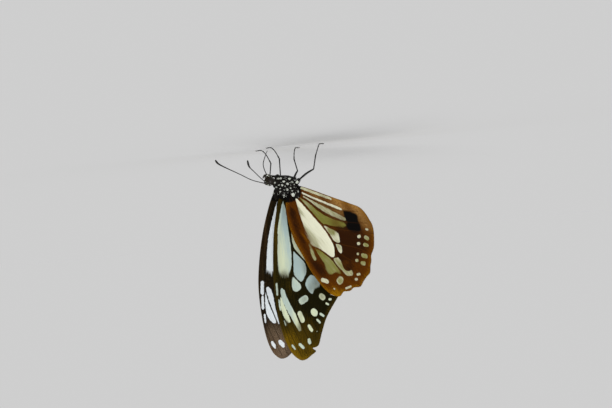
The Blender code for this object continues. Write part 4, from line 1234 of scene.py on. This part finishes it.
def flat_net(outline, veins, spacing=NET_STEP):
    """Corners and triangles of a wing drawn flat, its border, and its vein lines."""
    border = even_points(outline, spacing)
    lines = [even_points(route, spacing * 1.3) for route in veins.values()]
    lines = [line[depth_inside(line, border) > VEIN_END] for line in lines]
    rows = [row for line in lines for row in vein_feet(line, border)]
    corners = [*border]
    edges = []
    for row in rows:
        edges += [(len(corners) + i, len(corners) + i + 1) for i in range(len(row) - 1)]
        corners += [*row]
    corners += [*filling(border, rows, spacing)]
    rim = [list(range(len(border)))]
    flat = [Vector(corner) for corner in corners]
    net, _, faces, *_ = geometry.delaunay_2d_cdt(flat, edges, rim, 1, 0.01)
    return np.array([tuple(corner) for corner in net]), faces, border, lines


print("net spacing (mm):", NET_STEP)

# %% [markdown]
# ### What the net remembers
# At each corner the net keeps how deep it lies in a pale mark and in the black of the root or
# of the male's scent brand, how far it is from a vein and from the edge, and how strong the
# tint, smoke, wash and ground are there. These are distances and strengths, not colours: the
# shader turns them into paint, so every border stays sharp however close one looks.

# %% Wing numbers
PATTERNS = {                            # panels, spots, depth, wash, smoke, tints and fades
    ("forewing", "under"): (FOREWING_UNDER_PANELS, FOREWING_SPOTS + FOREWING_UNDER_MARKS,
                            FOREWING_UNDER_DEPTH, [], FOREWING_SMOKE, FOREWING_TINT, FOREWING_FADES),
    ("forewing", "upper"): (FOREWING_UPPER_PANELS, FOREWING_SPOTS + FOREWING_UPPER_MARKS,
                            FOREWING_UPPER_DEPTH, FOREWING_WASH, FOREWING_UPPER_SMOKE,
                            FOREWING_UPPER_TINT, FOREWING_UPPER_FADES),
    ("hindwing", "under"): (HINDWING_PANELS, HINDWING_SPOTS, HINDWING_UNDER_DEPTH, HINDWING_WASH,
                            HINDWING_SMOKE, HINDWING_TINT, HINDWING_FADES),
    ("hindwing", "upper"): (HINDWING_PANELS, HINDWING_SPOTS, HINDWING_UPPER_DEPTH, HINDWING_WASH,
                            HINDWING_SMOKE, HINDWING_TINT, HINDWING_FADES),
}
CRISP_EDGE = 0.1                        # softness of a mark's edge in millimetres
ROOT_BLACK = 1.6                        # reach of the black at a wing's root
ROOT_CURVE = 0.08                       # how fast that reach shrinks away from the root


def wing_numbers(kind, face, corners, lines, border):
    """All the pattern numbers of one face of one kind of wing."""
    panels, spots, depth, wash, smoke, tints, fades = PATTERNS[kind, face]
    pale, tint = pale_depth(corners, panels, spots)
    brand = np.full(len(corners), -9.0)
    if kind == "hindwing":
        brand = depth_inside(corners, closed_curve(SEX_BRAND))
    return {
        "pale": pale,
        "tint": tint + patches(corners, 0.5, tints) - 0.5,
        "smoke": patches(corners, 0, smoke),
        "soft": CRISP_EDGE + patches(corners, 0, fades),
        "vein": line_distance(corners, lines),
        "edge": depth_inside(corners, border),
        "deep": patches(corners, *depth),
        "wash": patches(corners, 0, wash),
        "black": np.maximum(brand, ROOT_BLACK - corners[:, 0] - ROOT_CURVE * corners[:, 1] ** 2),
        "upper": np.full(len(corners), float(face == "upper")),
    }


print("patterns:", list(PATTERNS))

# %% The wing's bake map
FLAT_MAP_START = (-3.0, -17.0)          # flat wing millimetres at the map's margin
FLAT_MAP_REACH = (64.0, 88.0)           # flat wing millimetres that the whole map would cover
FLAT_MAP_MARGIN = {"under": (0.05, 0.03), "upper": (0.05, 0.53)}


def flat_map(corners, face):
    """Bake map places of flat wing places; the two faces lie side by side."""
    return (corners - FLAT_MAP_START) / FLAT_MAP_REACH + FLAT_MAP_MARGIN[face]


def rim_edges(faces):
    """The directed edges that only one triangle uses: the net's rim."""
    directed = {pair for face in faces for pair in zip(face, [*face[1:], face[0]])}
    return sorted((a, b) for a, b in directed if (b, a) not in directed)


print("bake map margins:", FLAT_MAP_MARGIN)


# %% Wing sheets
def wing_mesh(name, kind, side, net):
    """One wing as a closed sheet with both faces, its numbers and its bake map."""
    corners, faces, border, lines = net
    vein = line_distance(corners, lines)
    fade = 1 - VEIN_FADE * np.clip(corners[:, 0] / WING_REACH, 0, 1)
    half = MEMBRANE_HALF + VEIN_RISE * fade * np.clip(1 - vein / VEIN_FOOT, 0, 1)
    sag = -PLEAT * np.clip(vein / PLEAT_REACH, 0, 1) * np.clip(depth_inside(corners, border), 0, 1)
    count = len(corners)
    points = np.vstack((wing_points(corners, sag + half, name, side),
                        wing_points(corners, sag - half, name, side)))
    outer = [tuple(face) if side < 0 else tuple(reversed(face)) for face in faces]
    inner = [tuple(i + count for i in reversed(face)) for face in outer]
    rim = [(b, a, a + count, b + count) for a, b in rim_edges(outer)]
    mesh = bpy.data.meshes.new(name)
    mesh.from_pydata(points, [], outer + inner + rim)
    under = wing_numbers(kind, "under", corners, lines, border)
    upper = wing_numbers(kind, "upper", corners, lines, border)
    for key, values in under.items():
        keep(mesh, key, np.concatenate((values, upper[key])))
    place = np.column_stack((corners, np.zeros(count)))
    keep(mesh, "wing_place", np.vstack((place, place)), "FLOAT_VECTOR")
    both = np.vstack((flat_map(corners, "under"), flat_map(corners, "upper")))
    loops = np.empty(len(mesh.loops), int)
    mesh.loops.foreach_get("vertex_index", loops)
    places = both[loops]
    start = 3 * (len(outer) + len(inner))
    middle = corners.mean(axis=0)
    nudge = unit(corners[loops[start:] % count] - middle) * 0.002 * (loops[start:, None] >= count)
    places[start:] = flat_map(corners[loops[start:] % count], "under") + nudge
    mesh.uv_layers.new(name="OFBake").data.foreach_set("uv", places.ravel().astype(np.float32))
    return mesh


# %% [markdown]
# ## The wing finish
# The shader lays one mask over another, as a printer lays inks. First comes the ground, from
# its palest to its deepest brown; then a powdery wash; then the black of the root and of the
# velvety scent brand; then the pale panels with their fuzzy scaled edges, and between them the
# dark veins. Upper and under side have their own inks. Light passes a little way through the
# thin pale panels, so there the finish is mixed with a translucent shader of one plain colour.

# %% Ground ink
RIM_REACH = 2.2                         # how far in from the rim the ground is paler


def wing_noises(start):
    """Four noises in the wing's own millimetres: clouds, grain, streaks along it and scales."""
    place = start.arrow("wing_place")
    cloud = start.noise(place, 0.8, 2.0)
    grain = start.noise(place, 2.6, 4.0)
    streaks = start.noise(place.stretch((0.25, 2.6, 1.0)), 1.0, 3.0)
    scales = start.noise(place.stretch((12.0, 24.0, 1.0)), 1.0, 1.0)
    return cloud, grain, streaks, scales


def ground_ink(start, noises, side, under, upper, wash_tone):
    """The brown ground, from its palest to its deepest ink, and its powdery wash."""
    _, grain, streaks, scales = noises
    rim = 1 - start.number("edge").ramp(0.0, RIM_REACH)
    deep = start.number("deep") - rim * 0.25 + (grain - 0.5) * 0.8 + (streaks - 0.5) * 0.45
    inks = [deep.ramp(0.45, 1.0).blend(deep.ramp(0.0, 0.5).blend(tones[0], tones[1]), tones[2])
            for tones in (under, upper)]
    powder = start.number("wash") * (grain * 0.5 + scales * 0.5).ramp(0.36, 0.58)
    return powder.blend(side.blend(*inks), wash_tone)


print("the rim is paler over (mm):", RIM_REACH)


# %% Pale ink and its edge
def pale_ink(start, noises, side, panel, dull, shade):
    """The colour of the pale panels, dulled by their tint and smoked with a shade."""
    _, grain, streaks, scales = noises
    tint = start.number("tint") + (streaks - 0.5) * 0.7 + (scales - 0.5) * 0.3
    pale = tint.ramp(0.0, 1.0).blend(side.blend(panel[0], panel[1]), dull)
    smoke = start.number("smoke") * (0.55 + grain * 0.9)
    return smoke.ramp(0.0, 1.3).blend(pale, shade)


def pale_mask(start, noises):
    """One on the pale panels and zero off them, with an edge that streaks where it is soft."""
    cloud, grain, streaks, _ = noises
    soft = start.number("soft")
    mask = start.number("pale") + (cloud - 0.5) * 0.4 + (grain - 0.5) * 0.16
    return (mask / soft + (streaks - 0.5) * soft * 4.0).ramp(-0.8, 0.9)


print("edges fade over at least (mm):", CRISP_EDGE)

# %% Wing finish
VEIN_WIDTH = (0.07, 0.22)               # where a vein's dark line starts to fade, and ends
VEIN_COVER = 0.55
GLASSINESS = 0.18                       # share of the light that passes a pale panel


def wing_finish(name, under, upper, panel, dull, wash_tone, vein_tones, glow_tone):
    """The finish of one kind of wing, from its inks."""
    material, shader, start = start_finish(name, Roughness=0.7, Specular_IOR_Level=0.04)
    noises = wing_noises(start)
    _, grain, _, scales = noises
    side = start.number("upper")
    black = (start.number("black") + (grain - 0.5) * 0.8).ramp(-0.35, 0.4)
    ground = black.blend(ground_ink(start, noises, side, under, upper, wash_tone), tone(8, 6, 5))
    mask = pale_mask(start, noises)
    colour = mask.blend(ground, pale_ink(start, noises, side, panel, dull, under[1]))
    vein = (1 - start.number("vein").ramp(*VEIN_WIDTH)) * (1 - mask) * (1 - black * 0.6)
    colour = (vein * VEIN_COVER).blend(colour, side.blend(*vein_tones))
    feed(shader, "Base Color", colour)
    feed(shader, "Normal", (scales * 0.5 + grain * 0.5).bump(0.4, 0.00003))
    glow = start.node("ShaderNodeBsdfTranslucent", sockets={"Color": glow_tone})
    solid = Field(start.tree, shader.outputs[0])
    mixed = start.node("ShaderNodeMixShader", sockets={0: mask * GLASSINESS, 1: solid, 2: glow})
    feed(start.tree.nodes["Material Output"], "Surface", mixed)
    return material


FOREWING_SCALES = wing_finish(
    "forewing_pattern",
    under=(tone(108, 82, 6), tone(60, 46, 3), tone(18, 16, 1)),
    upper=(tone(92, 68, 44), tone(48, 35, 17), tone(22, 16, 6)),
    # The upper side's panel tone is near white. Part of that is the glassy blue-white of the panels. The
    # rest is painted light, raised to make up for the shade in the gap between the closed wings.
    panel=(tone(172, 192, 190), tone(244, 250, 254)), dull=tone(222, 228, 190),
    wash_tone=tone(160, 136, 112), vein_tones=(tone(20, 17, 2), tone(16, 12, 5)),
    glow_tone=tone(226, 238, 240))
HINDWING_SCALES = wing_finish(
    "hindwing_pattern",
    under=(tone(140, 98, 4), tone(84, 43, 0), tone(42, 18, 2)),
    upper=(tone(112, 66, 24), tone(76, 38, 10), tone(40, 18, 6)),
    panel=(tone(240, 240, 214), tone(226, 226, 204)), dull=tone(126, 124, 56),
    wash_tone=tone(176, 134, 74), vein_tones=(tone(70, 36, 2), tone(44, 22, 4)),
    glow_tone=tone(232, 228, 190))
print("wing finishes:", FOREWING_SCALES.name, HINDWING_SCALES.name)

# %% Make the wings
AFTER_FRONT = len(BOWED_FRONT) + 1
NICKED_OUTLINE = [FOREWING_OUTLINE[0], *BOWED_FRONT, *FOREWING_OUTLINE[AFTER_FRONT:NICKED_POINT],
                  *WORN_NICK, *FOREWING_OUTLINE[NICKED_POINT + 1:]]
OUTLINES = {"forewing_left": FOREWING_OUTLINE, "forewing_right": NICKED_OUTLINE,
            "hindwing_left": HINDWING_OUTLINE, "hindwing_right": HINDWING_OUTLINE}
NETS = {
    "forewing_left": flat_net(FOREWING_OUTLINE, FOREWING_VEINS),
    "forewing_right": flat_net(NICKED_OUTLINE, {**FOREWING_VEINS, "costa": BOWED_COSTA}),
    "hindwing_left": flat_net(HINDWING_OUTLINE, HINDWING_VEINS),
}
NETS["hindwing_right"] = NETS["hindwing_left"]
SCALES = {"forewing": FOREWING_SCALES, "hindwing": HINDWING_SCALES}
for side, word in SIDES:
    for kind, scales in SCALES.items():
        name = f"{kind}_{word}"
        sheet = wing_mesh(name, kind, side, NETS[name])
        show(f"{kind}_sheet_{word}", sheet, scales, f"{kind}_scales", name)
        print(name, "faces:", len(sheet.polygons))

# %% [markdown]
# ## The fringe
# Along the outer rim of each wing stands a row of longer scales, dark where a vein meets the
# rim and white in the shallow dips between. It softens the silhouette, so it has to be real
# vanes and not paint. The tuft function lays them flat, pointing out of the rim.

# %% Fringe
FRINGE_STEP = 0.075
FRINGE_LENGTH = 0.3
FRINGE_HALF_WIDTH = 0.03
FRINGE_ROOT = 0.08                      # how far inside the rim a scale is rooted
FRINGE_STRAY = 0.09                     # how far its direction strays
FRINGE_WHITE_REACH = 1.0                # from a vein's end, where the dark scales give way
FRINGE_WHITE_FADE = 0.25
FRINGE_WHITE_SHARE = 0.8                # of the scales in a dip, the rest stay dark
FRINGE_SPANS = {                        # the corners of the outline between which a fringe grows
    "forewing": ((51.4, -3.5), (28.0, 20.3)),
    "hindwing": ((31.3, -14.8), (20.6, 16.7)),
}


def fringe_finish():
    """Fringe scales, white in the dips and dark at the veins."""
    material, shader, start = start_finish("fringe_hairs", Roughness=0.7, Specular_IOR_Level=0.15)
    white = start.number("white")
    feed(shader, "Base Color", white.blend(tone(46, 32, 14), tone(232, 228, 212)))
    return material


def fringe(name, kind, side, outline, lines):
    """A row of flat scales that points out of a wing's outer rim."""
    rim = even_points([*outline, outline[0]], FRINGE_STEP)
    first, last = [np.linalg.norm(rim - corner, axis=1).argmin() for corner in FRINGE_SPANS[kind]]
    ahead = unit(np.gradient(rim, axis=0))[first:last]
    rim = rim[first:last]
    out = np.column_stack((ahead[:, 1], -ahead[:, 0]))
    level = np.zeros(len(rim))
    roots = wing_points(rim - out * FRINGE_ROOT, level, name, side)
    flows = unit(wing_points(rim + out * 0.2, level, name, side) - roots)
    flows = unit(flows + CHANCE.normal(0, FRINGE_STRAY, flows.shape))
    normals = np.tile(outward(side), (len(rim), 1))
    ends = np.array([line[-1] for line in lines])
    apart = np.linalg.norm(rim[:, None] - ends[None], axis=2).min(axis=1)
    white = np.clip((apart - FRINGE_WHITE_REACH) / FRINGE_WHITE_FADE, 0, 1)
    white *= CHANCE.random(len(rim)) < FRINGE_WHITE_SHARE
    lengths = FRINGE_LENGTH * MM * CHANCE.uniform(0.7, 1.1, len(rim)) * (0.8 + 0.3 * white)
    mesh = tuft_mesh(f"fringe_{name}", roots, normals, flows, lengths,
                     np.full(len(rim), FRINGE_HALF_WIDTH * MM), CHANCE.normal(0, 0.08, len(rim)),
                     flat_map(rim, "under"))
    keep(mesh, "white", np.repeat(white, len(mesh.vertices) // len(rim)))
    return mesh


# %% Make the fringes
FRINGE = fringe_finish()
for side, word in SIDES:
    for kind in SCALES:
        name = f"{kind}_{word}"
        row = fringe(name, kind, side, OUTLINES[name], NETS[name][3])
        show(f"fringe_{name}", row, FRINGE, f"{kind}_scales")
        print(name, "fringe triangles:", len(row.polygons))

# %% [markdown]
# ## Floor, light and camera
# The picture shows the butterfly upside down, with its feet at the top. The model stands on
# a floor, so the camera is turned over to match. A long lens keeps the shape flat, as in a
# photograph taken from a metre away. Light is soft: a pale world all round, a wide sun over
# the camera's shoulder and a weaker one behind. The floor's grey is worked out so that the
# lit floor is as bright as the world, and its far edge melts away.

# %% Light
# The name of each sun: strength, softness, azimuth and elevation in degrees.
SUNS = {"key": (2.1, 20, 40, 14), "back": (1.2, 30, 205, 32)}
WORLD_LIGHT = 0.62


def direction(azimuth, elevation):
    """The unit direction from the butterfly to a lamp or camera."""
    turn, climb = math.radians(azimuth), math.radians(elevation)
    flat = math.cos(climb)
    return np.array((math.sin(turn) * flat, -math.cos(turn) * flat, math.sin(climb)))


for name, (strength, softness, azimuth, elevation) in SUNS.items():
    data = bpy.data.lights.new(name, "SUN")
    data.energy = strength
    data.angle = math.radians(softness)
    sun = bpy.data.objects.new(name, data)
    sun.rotation_euler = Vector(direction(azimuth, elevation)).to_track_quat("Z", "Y").to_euler()
    bpy.context.scene.collection.objects.link(sun)
world = bpy.data.worlds.new("studio")
world.use_nodes = True
world.node_tree.nodes["Background"].inputs["Color"].default_value = (1, 1, 1, 1)
world.node_tree.nodes["Background"].inputs["Strength"].default_value = WORLD_LIGHT
bpy.context.scene.world = world
bpy.context.scene.view_settings.view_transform = "Standard"
print("suns:", list(SUNS), "world light:", WORLD_LIGHT)

# %% Floor
FLOOR_SIZE = 8.0
sunlight = sum(strength * math.sin(math.radians(elevation)) / math.pi
               for strength, _, _, elevation in SUNS.values())
floor_grey = WORLD_LIGHT / (WORLD_LIGHT + sunlight)
floor_edit = bmesh.new()
bmesh.ops.create_grid(floor_edit, x_segments=1, y_segments=1, size=FLOOR_SIZE / 2)
floor = bpy.data.objects.new("floor", close_edit(floor_edit, "floor"))
bpy.context.scene.collection.objects.link(floor)
floor_paint, _, _ = start_finish("floor_paint", (floor_grey, floor_grey, floor_grey, 1), Roughness=1.0,
                                 Specular_IOR_Level=0.0)
floor.data.materials.append(floor_paint)
print("floor grey:", round(floor_grey, 3))

# %% Camera
CAMERA_AZIMUTH = 33.0
CAMERA_ELEVATION = 1.0
CAMERA_ROLL = math.radians(5.6)         # beyond upside down
PIXEL = 0.33 * MM                       # real size of one pixel of the picture
PICTURE = (612, 408)
FLOOR_PIXEL = (300.0, 146.0)            # the pixel that looks at the floor under the body
LOOK_AT_X = THORAX_CENTRE[0] - 6.7 * MM         # where that point of the floor lies along x
LENS, SENSOR = 180.0, 36.0

away = direction(CAMERA_AZIMUTH, CAMERA_ELEVATION)
level = direction(CAMERA_AZIMUTH + 90, 0)
upright = np.cross(away, level)
across = (FLOOR_PIXEL[0] - PICTURE[0] / 2) * PIXEL
climb = (PICTURE[1] / 2 - FLOOR_PIXEL[1]) * PIXEL
turned = (across * math.cos(CAMERA_ROLL) + climb * math.sin(CAMERA_ROLL),
          climb * math.cos(CAMERA_ROLL) - across * math.sin(CAMERA_ROLL))
target = level * turned[0] + upright * turned[1] + np.array((LOOK_AT_X, 0, 0))
x_axis = upright * math.sin(CAMERA_ROLL) - level * math.cos(CAMERA_ROLL)
y_axis = -(level * math.sin(CAMERA_ROLL) + upright * math.cos(CAMERA_ROLL))
camera = bpy.data.objects.new("camera", bpy.data.cameras.new("camera"))
camera.data.lens = LENS
camera.data.sensor_width = SENSOR
camera.data.clip_start = 0.01
distance = PICTURE[0] * PIXEL * LENS / SENSOR
frame_axes = Matrix([Vector(axis) for axis in (x_axis, y_axis, away)]).transposed().to_4x4()
frame_axes.translation = Vector(target + away * distance)
camera.matrix_world = frame_axes
bpy.context.scene.collection.objects.link(camera)
bpy.context.scene.camera = camera
print("camera place (m):", [round(value, 3) for value in camera.location])
